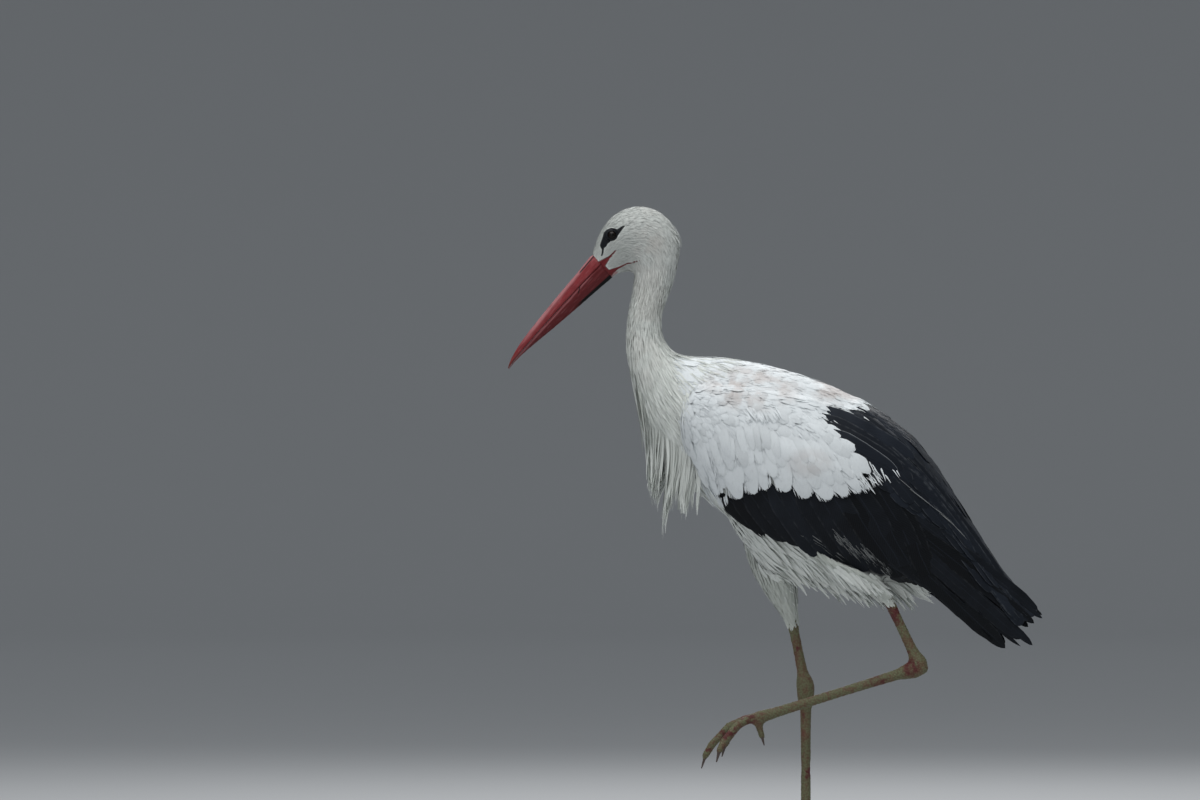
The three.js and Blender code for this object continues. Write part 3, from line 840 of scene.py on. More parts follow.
def feather_black(name, colours, gloss=0.0):
    """Black plumage with pale worn edges and fine barbs, bluish where it is glossy: partly its own blue-black
    tone, partly a painted wet sheen.
    """
    look = Finish(name, Specular_IOR_Level=0.12)
    along, across, tint, mark = look.stored("along", "across", "tint", "mark")
    barbs = (along * 260 - across.size() * 30 + tint * 40).sine() * 0.5 + 0.5
    cloud = look.noise(45.0, 4.0)
    # Glossy plumage is lifted towards the bluish tone: a painted wet sheen over its own blue-black tone.
    shade = look.mix(cloud * tint * 0.6 + gloss, colours.black, colours.black_tone_and_sheen)
    shaft = (1 - across.size() * 16).most(0.0)
    shade = look.mix(shaft * 0.4 + barbs * 0.12, shade, colours.black_tone_and_sheen)
    edge = across.size().between(0.80, 1.0)
    worn = edge * look.noise(150.0).between(0.35, 0.7) * (0.08 + gloss * 0.5)
    shade = look.mix(worn + across.size().between(0.90, 1.0) * mark, shade, colours.worn)
    look.set(Base_Color=shade, Roughness=cloud * 0.25 + 0.42 - gloss * 0.4)
    look.bump(barbs * 0.5 + cloud * 0.5, 0.0003, 0.35)
    return look.material


def leg_flesh(look, colours):
    """Colour of the bare legs: dusky red under a chalky crust, with crimson patches and painted shade at the
    top of the left shank.
    """
    blotch = look.noise(42.0, 5.0)
    fine = look.noise(140.0, 5.0)
    flesh = look.mix(blotch.between(0.28, 0.50), colours.leg, colours.chalk)
    flesh = look.mix(fine.between(0.50, 0.62) * 0.5, flesh, colours.leg)
    deep = (look.noise(33.0, 3.0) * 0.7 + fine * 0.3).between(0.55, 0.62)
    # The last ellipse is painted shade at the top of the left shank, under the thigh plumage.
    for place in CRIMSON_AND_SHADE:
        deep = deep.most(look.blob(*place) * fine.between(0.35, 0.55))
    return look.mix(deep * 0.85, flesh, colours.leg_deep)


def scale_finish(name, colours):
    """The leg's own colour, a little paler or darker from one scale to the next."""
    look = Finish(name, Specular_IOR_Level=0.25)
    tint, = look.stored("tint")
    grain = look.noise(1500.0, 3.0)
    flesh = leg_flesh(look, colours)
    shade = look.mix(tint * 0.2, flesh, look.mix(grain, colours.chalk, colours.leg))
    look.set(Base_Color=shade, Roughness=grain * 0.25 + 0.40)
    look.bump(grain, 0.0002, 0.5)
    return look.material


def skin_finish(name, colours):
    """Downy white skin, black round the eye and under the wings, and red legs, with painted shade in the
    crease at the front edge of the bare red skin.
    """
    look = Finish(name, Specular_IOR_Level=0.2)
    black, leg, red, chin = look.stored("black", "leg", "red", "chin")
    grain = look.noise(900.0, 4.0)
    fine = look.noise(140.0, 5.0)
    flesh = look.mix(0.35, leg_flesh(look, colours), colours.leg_deep)
    down = look.mix(grain, colours.head_tip, colours.cream_tip)
    down = look.mix(chin * fine.between(0.35, 0.6) * 0.8, down, colours.bill_pale_and_highlight)
    horn = look.mix(grain, colours.bill_low, colours.bill)
    face = look.mix(grain * 0.3, colours.black, colours.black_tone_and_sheen)
    # Painted shade: a dark line in the crease where the feathered skin meets the bare red skin, towards the
    # bill.
    rim = (1 - ((red - 0.5) / 0.35).size()).between(0.0, 0.6) * look.axes()[0].between(0.224, 0.236)
    shade = look.mix(rim * 0.8, look.mix(red, down, horn), colours.black)
    shade = look.mix(leg, shade, flesh)
    look.set(Base_Color=look.mix(black, shade, face), Roughness=grain * 0.25 + 0.42)
    look.bump(grain, 0.0002, 0.6)
    return look.material


def bill_finish(name, colours):
    """Dusky red horn, pale along the ridge where a highlight is painted, darker below, with fine long
    scratches and painted shade in the nostrils and the notch.
    """
    look = Finish(name, Specular_IOR_Level=0.22)
    x, y, z = look.axes()
    along = (x - BILL_BASE[0]) * BILL_AXIS[0] + (z - BILL_BASE[2]) * BILL_AXIS[2]
    rise = (z - BILL_BASE[2]) * BILL_AXIS[0] - (x - BILL_BASE[0]) * BILL_AXIS[2]
    stretched = look.node("ShaderNodeCombineXYZ", X=along * 0.10, Y=y, Z=rise)
    grain = look.node("ShaderNodeTexNoise", Vector=stretched, Scale=700.0, Detail=4.0)
    cloud = look.noise(60.0, 4.0)
    shade = look.mix((rise + cloud * 0.004).between(0.002, 0.007), colours.bill_low, colours.bill)
    shade = look.mix(cloud.between(0.5, 0.7) * 0.4, shade, colours.bill_low)
    # Pale band along the ridge: a painted highlight of the light from above.
    ridge = (rise + along * 0.052).between(0.0125, 0.0165) * (1 - along.between(0.10, 0.15))
    shade = look.mix(ridge * 0.8, shade, colours.bill_pale_and_highlight)
    shade = look.mix(grain.between(0.54, 0.70) * 0.25, shade, colours.bill_pale_and_highlight)
    shade = look.mix((1 - grain.between(0.3, 0.45)) * 0.6, shade, colours.bill_low)
    lip = 1 - ((rise - 0.0012) / 0.0012).size().between(0.3, 1.0)
    shade = look.mix(lip * along.between(0.01, 0.03) * 0.35, shade, colours.bill_pale_and_highlight)
    # Painted shade: the nostril slit is painted black.
    nostril_shade = 1 - ((rise - 0.0147 + along * 0.035) / 0.0011).size().between(0.4, 1.0)
    shade = look.mix(nostril_shade * (1 - along.between(0.022, 0.026)) * 0.9, shade, colours.black)
    under = 1 - (rise - along * 0.100).between(-0.0154, -0.0138)
    shade = look.mix(under * (1 - along.between(0.045, 0.062)), shade, colours.black)
    # Painted shade: the carved notch is painted black.
    notch_shade = 1 - (along * 0.50 + rise * 0.866 - 0.0204).size().between(0.0003, 0.0008)
    notch_shade = notch_shade * along.between(0.0355, 0.037) * (1 - along.between(0.0425, 0.0445))
    shade = look.mix(notch_shade, shade, colours.black)
    shade = look.mix(along.between(0.135, 0.17) * 0.6, shade, colours.bill_tip)
    look.set(Base_Color=shade, Roughness=(grain * 0.25 + 0.28).most(under * 0.85))
    look.bump(grain, 0.0003, 0.5)
    return look.material


def eye_finish(name):
    """Dark brown iris round a black pupil, under a clear wet coat."""
    look = Finish(name, Roughness=0.3, Coat_Weight=0.16, Coat_Roughness=0.05, Specular_IOR_Level=0.12)
    x, _, z = look.axes()
    out = ((x - EYE[0]) ** 2 + (z - EYE[2]) ** 2) ** 0.5
    fibres = look.noise(1500.0, 3.0)
    iris = look.mix(fibres, (0.003, 0.002, 0.002), (0.011, 0.006, 0.004))
    look.set(Base_Color=look.mix(out.between(0.0021, 0.0024), (0.001, 0.001, 0.001), iris))
    return look.material


def claw_finish(name):
    """Dark horn, paler where it is worn."""
    look = Finish(name, Roughness=0.45)
    grain = look.noise(700.0, 4.0)
    look.set(Base_Color=look.mix(grain, (0.025, 0.016, 0.013), (0.09, 0.06, 0.05)))
    look.bump(grain, 0.0003, 0.5)
    return look.material


def floor_finish(name, colour):
    """Plain matt studio paper."""
    look = Finish(name)
    soft = [share * 0.985 for share in colour]
    look.set(Base_Color=look.mix(look.noise(3.0), colour, soft), Roughness=0.9)
    return look.material


# ---- Sizes and colours ----


def length(name, description, default):
    return FloatProperty(name=name, description=description, default=default, unit="LENGTH", precision=4)


def colour(name, description, default):
    return FloatVectorProperty(
        name=name, description=description, default=default, subtype="COLOR", min=0.0, max=1.0)


class StorkSizes(PropertyGroup):
    """Sizes that shape the skin and the plumage."""

    skin_voxel: length("Skin grain", "Size of the faces of the skin", 0.0028)
    head_coat: length("Head coat", "Depth of the plumage on the head", 0.0013)
    neck_coat: length("Neck coat", "Depth of the plumage on the neck", 0.0028)
    body_coat: length("Body coat", "Depth of the plumage on the trunk and the wings", 0.005)
    lid_opening: length("Lid opening", "Radius of the opening between the eyelids", 0.0047)


class StorkColours(PropertyGroup):
    """Colours of the stork's finishes."""

    white_tip: colour("White", "White plumage at the tips of its feathers", (0.73, 0.77, 0.785))
    cream_tip: colour("Cream", "Plumage of the neck and the breast", (0.67, 0.70, 0.665))
    belly_tip: colour("Belly", "Plumage of the belly and the thighs", (0.66, 0.69, 0.66))
    # Darker than the belly: painted shade on the thigh plumage under the body.
    thigh_shaded_tip: colour("Thighs", "Plumage of the thighs", (0.51, 0.54, 0.50))
    barb_tip: colour("Barbs", "Frayed grey barbs over the black secondaries", (0.20, 0.21, 0.21))
    head_tip: colour("Head", "Plumage of the head", (0.56, 0.585, 0.56))
    stain: colour("Stain", "Earth stains on the back", (0.42, 0.33, 0.29))
    black: colour("Black", "Black plumage and bare black skin", (0.003, 0.0035, 0.004))
    # Blue-black tone of the plumage and the bare skin; on the glossy feathers it also carries a painted wet
    # sheen.
    black_tone_and_sheen: colour("Black gloss", "Glossy parts of the black plumage", (0.022, 0.028, 0.040))
    worn: colour("Worn edges", "Pale worn edges of black feathers", (0.20, 0.215, 0.23))
    bill: colour("Bill", "Upper half of the bill", (0.20, 0.024, 0.028))
    bill_low: colour("Lower bill", "Lower half of the bill", (0.105, 0.011, 0.013))
    # Pale pink of the chin skin and the scratches, and of the painted highlight along the ridge.
    bill_pale_and_highlight: colour("Pale ridge", "Ridge at the bill's base", (0.42, 0.18, 0.19))
    bill_tip: colour("Bill tip", "Brownish tip of the bill", (0.12, 0.028, 0.018))
    leg: colour("Legs", "Bare legs", (0.135, 0.060, 0.040))
    # Deep red also paints the shade at the top of the left shank.
    leg_deep: colour("Deep red", "Crimson patches and creases of the legs", (0.085, 0.009, 0.016))
    chalk: colour("Chalk", "Chalky coating of the legs", (0.135, 0.145, 0.078))


class StorkStudio(PropertyGroup):
    """The studio round the bird."""

    floor: colour("Floor", "Studio paper", (0.50, 0.51, 0.52))
    floor_radius: length("Floor radius", "Flat part of the floor", 15.0)
    rim_power: FloatProperty(name="Rim light", description="Power of the light behind the bird", default=30.0)
    key_power: FloatProperty(name="Key light", description="Power of the soft light overhead", default=78.0)
    fill_power: FloatProperty(name="Fill light", description="Power of the light by the camera", default=27.0)
    focal_length: FloatProperty(name="Focal length", description="Lens in millimetres", default=250.0)


# ---- What the pieces share ----

DEPTHS = (("head", "head_coat"), ("neck", "neck_coat"), ("t", "body_coat"), ("wing", "body_coat"))
BLACK_NODES = nodes_named("wing_primaries", "wing_secondaries", "wing_scapulars", "wing_tertials")


class Owners:
    """Tells which CAD node a place belongs to."""

    def __init__(self, nodes):
        self.nodes = nodes
        points, faces, self.owner = [], [], []
        for number, node in enumerate(nodes):
            mesh = frame["nodes"][node].data
            start = len(points)
            points += read(mesh.vertices, "co", 3).tolist()
            faces += [[start + i for i in face.vertices] for face in mesh.polygons]
            self.owner += [number] * len(mesh.polygons)
        self.owner = np.array(self.owner)
        self.tree = BVHTree.FromPolygons(points, faces)

    def of(self, points):
        hits = [self.tree.find_nearest(point)[2] for point in points.tolist()]
        return np.array(self.nodes)[self.owner[hits]]


def grouped(piece, name, weights):
    """A vertex group with these weights."""
    group = piece.vertex_groups.new(name=name)
    for level in range(1, 11):
        chosen = np.flatnonzero(np.round(weights * 10) == level)
        group.add(chosen.tolist(), level / 10, "REPLACE")
    return name


# Bare parts of the face in the side view, in millimetres.
EYE_PATCH = [
    (215.8, 767.5), (220.2, 766.4), (226.2, 762.6), (229.8, 763.8), (234.0, 764.5), (239.4, 762.0),
    (242.9, 758.3), (243.7, 754.0), (245.6, 748.7), (247.2, 743.4), (246.4, 740.9), (244.8, 738.2),
    (245.2, 733.8), (246.2, 730.4), (244.0, 730.4), (242.6, 734.8), (241.9, 739.9), (239.4, 741.7),
    (237.6, 745.2), (235.0, 747.0), (233.4, 749.8), (229.8, 752.2), (225.4, 754.8), (222.7, 758.3),
    (219.2, 763.2),
]
GAPE_PATCH = [
    (252.0, 722.0), (245.0, 725.8), (236.5, 730.0), (228.0, 738.4), (227.2, 737.2), (232.2, 730.6),
    (237.0, 724.6), (240.7, 718.6), (246.0, 713.5),
]
JAW_PATCH = [
    (248.0, 718.6), (240.5, 718.4), (236.4, 714.0), (224.6, 717.8), (213.8, 722.6), (199.4, 725.6),
    (199.2, 723.6), (213.8, 720.6), (224.6, 715.2), (230.5, 710.5), (233.5, 706.0), (248.0, 700.0),
]
CHIN_PATCH = [
    (233.5, 708.0), (229.0, 713.5), (220.0, 711.0), (223.5, 706.0), (231.0, 701.5), (240.0, 697.0),
    (248.0, 696.0), (246.0, 703.0),
]
GAPE_LINE = ((248.0, 719.0), (227.4, 738.2))
# Where the skin of the folded wings ends, as x and z, the way to their tips, and how far it is drawn back
# for each metre past that.
WING_END = np.array([-0.205, 0.330])
WING_WAY = np.array([-0.584, -0.812])
WING_DRAW = 0.55 * WING_WAY + np.array([-0.16, 0.19])
# The tail's underside: its height at one x, its slope, and how much of what is below it is lifted.
TAIL_X, TAIL_Z, TAIL_SLOPE, TAIL_LIFT = -0.105, 0.376, 0.58, 0.85


def past_wing(points):
    """How far a place lies past the solid part of the folded wings, towards their tips, in metres."""
    return (points[:, [0, 2]] - WING_END) @ WING_WAY


def face_mark(points):
    """1 on the bare black skin round the eye, 0 on the plumage."""
    far = np.hypot(points[:, 0] - EYE[0], points[:, 2] - EYE[2])
    ring = 1 - ramp(0.0068, 0.0076, far)
    return np.maximum(ring, patch(EYE_PATCH, points, 0.5)) * ramp(0.004, 0.007, np.abs(points[:, 1]))


def bare_face(points):
    """1 wherever the face has no plumage."""
    red = np.maximum(patch(GAPE_PATCH, points, 0.5), patch(JAW_PATCH, points, 0.4))
    return np.maximum(face_mark(points), red)


# ---- Skin ----


class STORK_OT_skin(Operator):
    """Makes one skin from head to toes, a coat's depth inside the solids, with lids round the eyes"""

    bl_idname = "stork.skin"
    bl_label = "Skin"

    def execute(self, context):
        sizes = context.scene.stork_sizes
        owners = shared["owners"] = Owners(BODY_NODES + WING_NODES + LEG_NODES)
        skin = copied("skin", owners.nodes)
        remeshed(skin, sizes.skin_voxel, smoothing=3)
        points = points_of(skin)
        owner = owners.of(points)
        bare = np.isin(owner, LEG_NODES)
        broad = ~bare & ~np.isin(owner, nodes_named("head", "wing_primaries", "thigh"))
        weights = evened(broad.astype(float), edges_of(skin), 6)
        modified(skin, "SMOOTH", factor=0.5, iterations=22, vertex_group=grouped(skin, "broad", weights))
        self.flatten_breast(skin, owner)
        shared["form"] = Form(skin)
        self.shrink(skin, sizes, owner)
        self.pull_back(skin, bare)
        self.thin_out(skin, bare)
        self.refine(skin)
        self.carve_gape(skin)
        self.carve_lids(skin, sizes)
        points = points_of(skin)
        owner = owners.of(points)
        edges = edges_of(skin)
        black = evened(np.isin(owner, BLACK_NODES).astype(float), edges, 1)
        add_values(skin, "black", np.maximum(black, face_mark(points)))
        add_values(skin, "leg", evened(np.isin(owner, LEG_NODES).astype(float), edges, 1))
        add_values(skin, "red", np.maximum(patch(GAPE_PATCH, points, 0.6), patch(JAW_PATCH, points, 0.5)))
        add_values(skin, "chin", patch(CHIN_PATCH, points, 1.0))
        finished(skin, skin_finish("Stork skin", context.scene.stork_colours), "white_body",
                 *BODY_NODES, *LEG_NODES)
        return {"FINISHED"}

    def flatten_breast(self, skin, owner):
        """Draw the front of the belly in behind the folded wings."""
        points = points_of(skin)
        trunk = evened(np.char.startswith(owner, "trunk").astype(float), edges_of(skin), 4)
        heights = (0.360, 0.384, 0.404, 0.420, 0.444, 0.462, 0.480)
        front = np.interp(points[:, 2], heights, (0.070, 0.080, 0.091, 0.102, 0.117, 0.127, 0.140))
        bulge = np.interp(points[:, 2], heights, (0, 0.006, 0.012, 0.016, 0.010, 0.004, 0))
        points[:, 0] -= trunk * bulge * ramp(-0.040, 0.004, points[:, 0] - front)
        set_points(skin, points)

    def pull_back(self, skin, bare):
        """Draw the ends of the wings and the tail back under the feathers that carry on past them."""
        points = points_of(skin)
        shift = np.maximum(past_wing(points), 0) * ramp(-0.12, -0.17, points[:, 0])
        shift[bare] = 0
        points[:, [0, 2]] -= shift[:, None] * WING_DRAW
        low = TAIL_Z + (points[:, 0] - TAIL_X) * TAIL_SLOPE - points[:, 2]
        lift = TAIL_LIFT * np.maximum(low, 0) * ramp(-0.122, -0.150, points[:, 0])
        lift[bare] = 0
        points[:, 2] += lift
        set_points(skin, points)

    def shrink(self, skin, sizes, owner):
        """Move the skin inwards by the depth of the coat, but less where the bird is thin."""
        points, normals, edges = points_of(skin), normals_of(skin), edges_of(skin)
        depths = np.zeros(len(points))
        for start, size in DEPTHS:
            depths[np.char.startswith(owner, start)] = getattr(sizes, size)
        depths[np.isin(owner, LEG_NODES)] = 0
        depths = evened(depths, edges, 8)
        depths[np.isin(owner, LEG_NODES)] = 0
        near_bill = norms(points - BILL_BASE)
        depths *= 0.1 + 0.9 * ramp(0.014, 0.024, near_bill)
        depths *= 1 - 0.85 * bare_face(points)
        tree = shared["form"].tree
        for i, (point, normal) in enumerate(zip(points.tolist(), normals.tolist())):
            inwards = -Vector(normal)
            hit = tree.ray_cast(Vector(point) + inwards * 0.0005, inwards, 0.05)
            if hit[0] is not None:
                depths[i] = min(depths[i], 0.3 * hit[3])
        depths = evened(depths, edges, 3)
        shared["form"].depths = depths
        set_points(skin, points - normals * depths[:, None])

    def thin_out(self, skin, bare):
        """Fewer faces where the plumage hides the skin."""
        points = points_of(skin)
        hidden = ~bare & ~(evened(bare.astype(float), edges_of(skin), 3) > 0.01) & (points[:, 0] < 0.2)
        group = grouped(skin, "hidden", hidden.astype(float))
        modified(skin, "DECIMATE", ratio=0.22, vertex_group=group)

    def carve_gape(self, skin):
        """Crease the bare skin along the corner of the mouth."""
        points = points_of(skin)
        start, end = np.array(GAPE_LINE) / 1000
        run = (end - start) / np.linalg.norm(end - start)
        flat = points[:, [0, 2]] - start
        along = flat @ run
        away = np.abs(flat @ np.array([-run[1], run[0]]))
        share = along / np.linalg.norm(end - start)
        inner = ramp(-0.002, 0, along) * (1 - ramp(0.85, 1.05, share))
        depth = 0.0011 * np.exp(-(away / 0.0006) ** 2) * inner
        points[:, 1] -= np.sign(points[:, 1]) * depth * ramp(0.004, 0.007, np.abs(points[:, 1]))
        set_points(skin, points)

    def refine(self, skin):
        """Finer faces on the front of the face and round the eyes."""
        shape = bmesh.new()
        shape.from_mesh(skin.data)
        rules = [lambda place: place.x > 0.196 and 0.690 < place.z < 0.775] * 2
        for reach in (0.0125, 0.0080):
            rules.append(lambda place, reach=reach: abs(place.y) > 0.008 and math.hypot(
                place.x - EYE[0], place.z - EYE[2]) < reach)
        for chosen_by in rules:
            near = {vert for vert in shape.verts if chosen_by(vert.co)}
            chosen = [edge for edge in shape.edges if all(vert in near for vert in edge.verts)]
            bmesh.ops.subdivide_edges(shape, edges=chosen, cuts=1, smooth=0.5, use_grid_fill=True)
        bmesh.ops.triangulate(shape, faces=[face for face in shape.faces if len(face.verts) > 4])
        shape.to_mesh(skin.data)
        shape.free()

    def carve_lids(self, skin, sizes):
        """Open the lids over the eyeballs, with a raised rim and two folds round them."""
        points = points_of(skin)
        side = np.sign(points[:, 1])
        out = np.abs(points[:, 1])
        far = np.hypot((points[:, 0] - EYE[0]) * 0.96, points[:, 2] - EYE[2])
        near = (far < 0.012) & (out > 0.008)
        ball = EYE[1] + np.sqrt(np.maximum(EYE_RADIUS ** 2 - far ** 2, 0))
        opening = sizes.lid_opening
        seat = EYE[1] + math.sqrt(EYE_RADIUS ** 2 - opening ** 2)
        rest = out + (1 - ramp(opening + 0.0006, 0.010, far)) * np.maximum(seat + 0.0002 - out, 0)
        for middle, width, height in LID_FOLDS:
            rest = rest + height * np.exp(-((far - opening - middle) / width) ** 2)
        open_share = 1 - ramp(opening - 0.0003, opening + 0.0001, far)
        rest = rest + (np.minimum(ball - 0.0009, rest) - rest) * open_share
        points[near, 1] = (side * rest)[near]
        set_points(skin, points)


class STORK_OT_bill(Operator):
    """Makes both halves of the bill in horn, with nostrils and a ridge"""

    bl_idname = "stork.bill"
    bl_label = "Bill"

    def execute(self, context):
        horn = bill_finish("Stork bill", context.scene.stork_colours)
        for half in ("upper", "lower"):
            piece = copied(f"bill_horn_{half}", [f"bill_{half}"])
            remeshed(piece, 0.0009, smoothing=5)
            self.shape(piece)
            finished(piece, horn, "bill_horn", f"bill_{half}")
        return {"FINISHED"}

    def shape(self, piece):
        """Seat the base in the head, and cut the nostrils and the grooves."""
        points = points_of(piece)
        up = np.array([-BILL_AXIS[2], 0, BILL_AXIS[0]])
        along, rise = (points - BILL_BASE) @ BILL_AXIS, (points - BILL_BASE) @ up
        seat = np.maximum(0.007 - along, 0)
        points = points - BILL_AXIS * (seat * 0.5)[:, None]
        middle = BILL_BASE + BILL_AXIS * along[:, None]
        tuck = 1 - 0.10 * (1 - ramp(-0.001, 0.004, along))
        points = middle + (points - middle) * tuck[:, None]
        nostril = np.exp(-((rise - 0.0147 + 0.035 * along) / 0.0007) ** 2) * ramp(0.000, 0.003, along)
        nostril *= 1 - ramp(0.021, 0.026, along)
        groove = np.exp(-((rise - 0.0130 + 0.06 * along) / 0.0011) ** 2) * ramp(0.022, 0.032, along)
        groove *= 1 - ramp(0.06, 0.11, along)
        shelf = np.exp(-((rise + 0.0035 - 0.02 * along) / 0.0014) ** 2)
        shelf *= 1 - ramp(0.030, 0.042, along)
        notch = np.exp(-(((along - 0.0365) * 0.50 + (rise - 0.0025) * 0.866) / 0.0006) ** 2)
        notch *= ramp(0.0360, 0.0375, along) * (1 - ramp(0.0425, 0.0445, along))
        depth = 0.0016 * nostril + 0.0005 * groove + 0.0004 * shelf + 0.0008 * notch
        points[:, 1] -= np.sign(points[:, 1]) * depth * ramp(0.001, 0.003, np.abs(points[:, 1]))
        set_points(piece, points)


class STORK_OT_eyes(Operator):
    """Makes the two eyeballs, each with a bulging cornea"""

    bl_idname = "stork.eyes"
    bl_label = "Eyes"

    def execute(self, context):
        look = eye_finish("Stork eye")
        for side, sign in (("left", 1), ("right", -1)):
            bpy.ops.object.select_all(action="DESELECT")
            middle = (EYE[0], EYE[1] * sign, EYE[2])
            bpy.ops.mesh.primitive_uv_sphere_add(
                segments=64, ring_count=64, radius=EYE_RADIUS, location=middle, rotation=(math.pi / 2, 0, 0))
            piece = bpy.context.object
            piece.name = piece.data.name = f"eyeball_{side}"
            bpy.ops.object.transform_apply(location=True, rotation=True, scale=True)
            points = points_of(piece)
            far = np.hypot(points[:, 0] - EYE[0], points[:, 2] - EYE[2])
            outer = points[:, 1] * sign > EYE[1]
            bulge = 0.0006 * (1 - ramp(0.001, 0.0044, far)) * outer
            points[:, 1] += sign * bulge
            set_points(piece, points)
            finished(piece, look, "eye", f"eye_{side}")
        return {"FINISHED"}


class STORK_OT_claws(Operator):
    """Makes the eight claws in smooth dark horn"""

    bl_idname = "stork.claws"
    bl_label = "Claws"

    def seated(self, node):
        """A copy of one claw, drawn out at its base so that it sits in the end of its toe."""
        claw = copied(f"{node}_copy", [node])
        toe = points_of(frame["nodes"][node.replace("claw", "toe")]).mean(0)
        points = points_of(claw)
        away = norms(points - toe)
        tip, base = points[away.argmax()], points[away < away.min() + 0.002].mean(0)
        run = base - tip
        share = (points - tip) @ run / (run @ run)
        points += unit(run) * (0.0035 * ramp(0.4, 1.0, share))[:, None]
        set_points(claw, points)
        return claw

    def execute(self, context):
        nodes = nodes_named("claw")
        claws = [self.seated(node) for node in nodes]
        only(*claws)
        bpy.ops.object.join()
        piece = bpy.context.object
        piece.name = piece.data.name = "claws"
        modified(piece, "REMESH", mode="VOXEL", voxel_size=0.0006)
        modified(piece, "SMOOTH", factor=0.5, iterations=4)
        finished(piece, claw_finish("Stork claw"), "claw_horn", *nodes)
        return {"FINISHED"}


# ---- Plumage ----

WHITE_UPPER = [  # Side outline of the white back and wing coverts, in millimetres
    (172, 640), (162, 560), (152, 500), (132, 462), (110, 426), (85, 437), (60, 442), (30, 450),
    (0, 440), (-40, 440), (-72, 450), (-92, 463), (-68, 480), (-50, 494), (-29, 522), (-22, 543),
    (-25, 551), (-36, 548), (-50, 542), (-63, 540), (-68, 548), (-76, 553), (-84, 549), (-60, 640),
]
WING_SIDE = [  # Side outline of the whole folded wing, in millimetres
    (150, 590), (148, 540), (124, 462), (97, 428), (61, 402), (7, 384), (-65, 352), (-127, 340), (-167, 321),
    (-194, 289), (-218, 277), (-221, 265), (-251, 262), (-272, 266), (-281, 297), (-263, 325), (-251, 334),
    (-197, 418), (-131, 515), (-60, 640),
]
BLACK_UPPER = [  # Side outline of the black part of the back, in millimetres
    (-12, 552), (-60, 585), (-120, 560), (-180, 490), (-175, 440), (-130, 435), (-96, 455),
    (-60, 490), (-26, 524),
]
# The knee and the top of the bare shank of each leg: 1 is the left, -1 the right.
KNEES = {
    -1: np.array([(0.054, -0.042, 0.412), (0.016, -0.024, 0.292)]),
    1: np.array([(0.008, 0.042, 0.412), (-0.097, 0.038, 0.320)]),
}


def on_wings(points):
    return inside(WING_SIDE, points) & (np.abs(points[:, 1]) > 0.03)


def covert_flow(points):
    """Lie of the white feathers of the wings: backwards high up, hanging lower down."""
    x, z = side_view(points).T
    top = np.interp(x, (-90, -20, 60, 120, 150), (520, 560, 578, 580, 570))
    low = np.interp(x, (-90, -30, 20, 60, 97, 150), (452, 440, 445, 446, 440, 500))
    down = ramp(0, 0.7, np.clip((top - z) / (top - low), 0, 1))
    high_angle = np.interp(x, (-50, 0, 60, 150), (46, 26, 12, 20))
    low_angle = np.interp(x, (-90, -30, 0, 60, 97, 150), (46, 58, 68, 78, 70, 64))
    angle = np.radians(high_angle + (low_angle - high_angle) * down)
    return np.stack([-np.cos(angle), np.zeros(len(x)), -np.sin(angle)], axis=1)


def body_flow(points):
    """Lie of the loose white feathers of the breast, flanks and belly."""
    return unit(LINE.flow(points) + np.array([-0.1, 0, -0.25]))


class STORK_OT_head_coat(Operator):
    """Lays the short, fine plumage of the head, longer towards the nape"""

    bl_idname = "stork.head_coat"
    bl_label = "Head plumage"

    # Places, in millimetres, where a few longer feathers stand off the nape.
    loose = ((155, 763, 0.010), (163, 690, 0.008))

    def execute(self, context):
        form = shared["form"]

        def wanted(points, normals):
            bill = (normals @ BILL_AXIS > 0.75) & (norms(points - BILL_BASE) < 0.022)
            return (LINE.share(points) < 0.175) & ~bill & (bare_face(points) < 0.4)

        def back(points):
            return ramp(0.02, 0.15, LINE.share(points))

        roots = scattered(form, lambda points: 0.00128 + 0.00052 * back(points), wanted, 11)
        coat = Plumage("head_plumage", 12)
        sparse = patch(CHIN_PATCH, roots, 1.0) * 0.7
        roots = roots[coat.random.random(len(roots)) > sparse]
        lengths = (0.0048 + 0.0080 * back(roots)) * coat.drawn((0.8, 1.25), len(roots))
        halves = (0.00050 + 0.00042 * back(roots)) * coat.drawn((0.8, 1.2), len(roots))
        aims = coat.strayed(LINE.flow(roots), 0.07)
        lengths = shortened(roots, aims, lengths, lambda points: bare_face(points) < 0.5)
        high = coat.drawn((-0.0002, 0.0002), len(roots))
        for x, z, reach in self.loose:
            near = np.hypot(*(side_view(roots) - (x, z)).T) < reach * 1000
            near &= coat.random.random(len(roots)) < 0.25
            high[near] = coat.drawn((0.001, 0.004), near.sum())
            lengths[near] *= 1.4
        keep = lengths > 0.002
        roots, aims, lengths, halves, high = (values[keep] for values in (roots, aims, lengths, halves, high))
        rises = (-0.7 * form.depth(roots), high)
        coat.lay(TUFT, form, roots, aims, lengths, rises, halves, LINE.flow, 0.4, roll=0.12)
        coat.build("head")
        return {"FINISHED"}


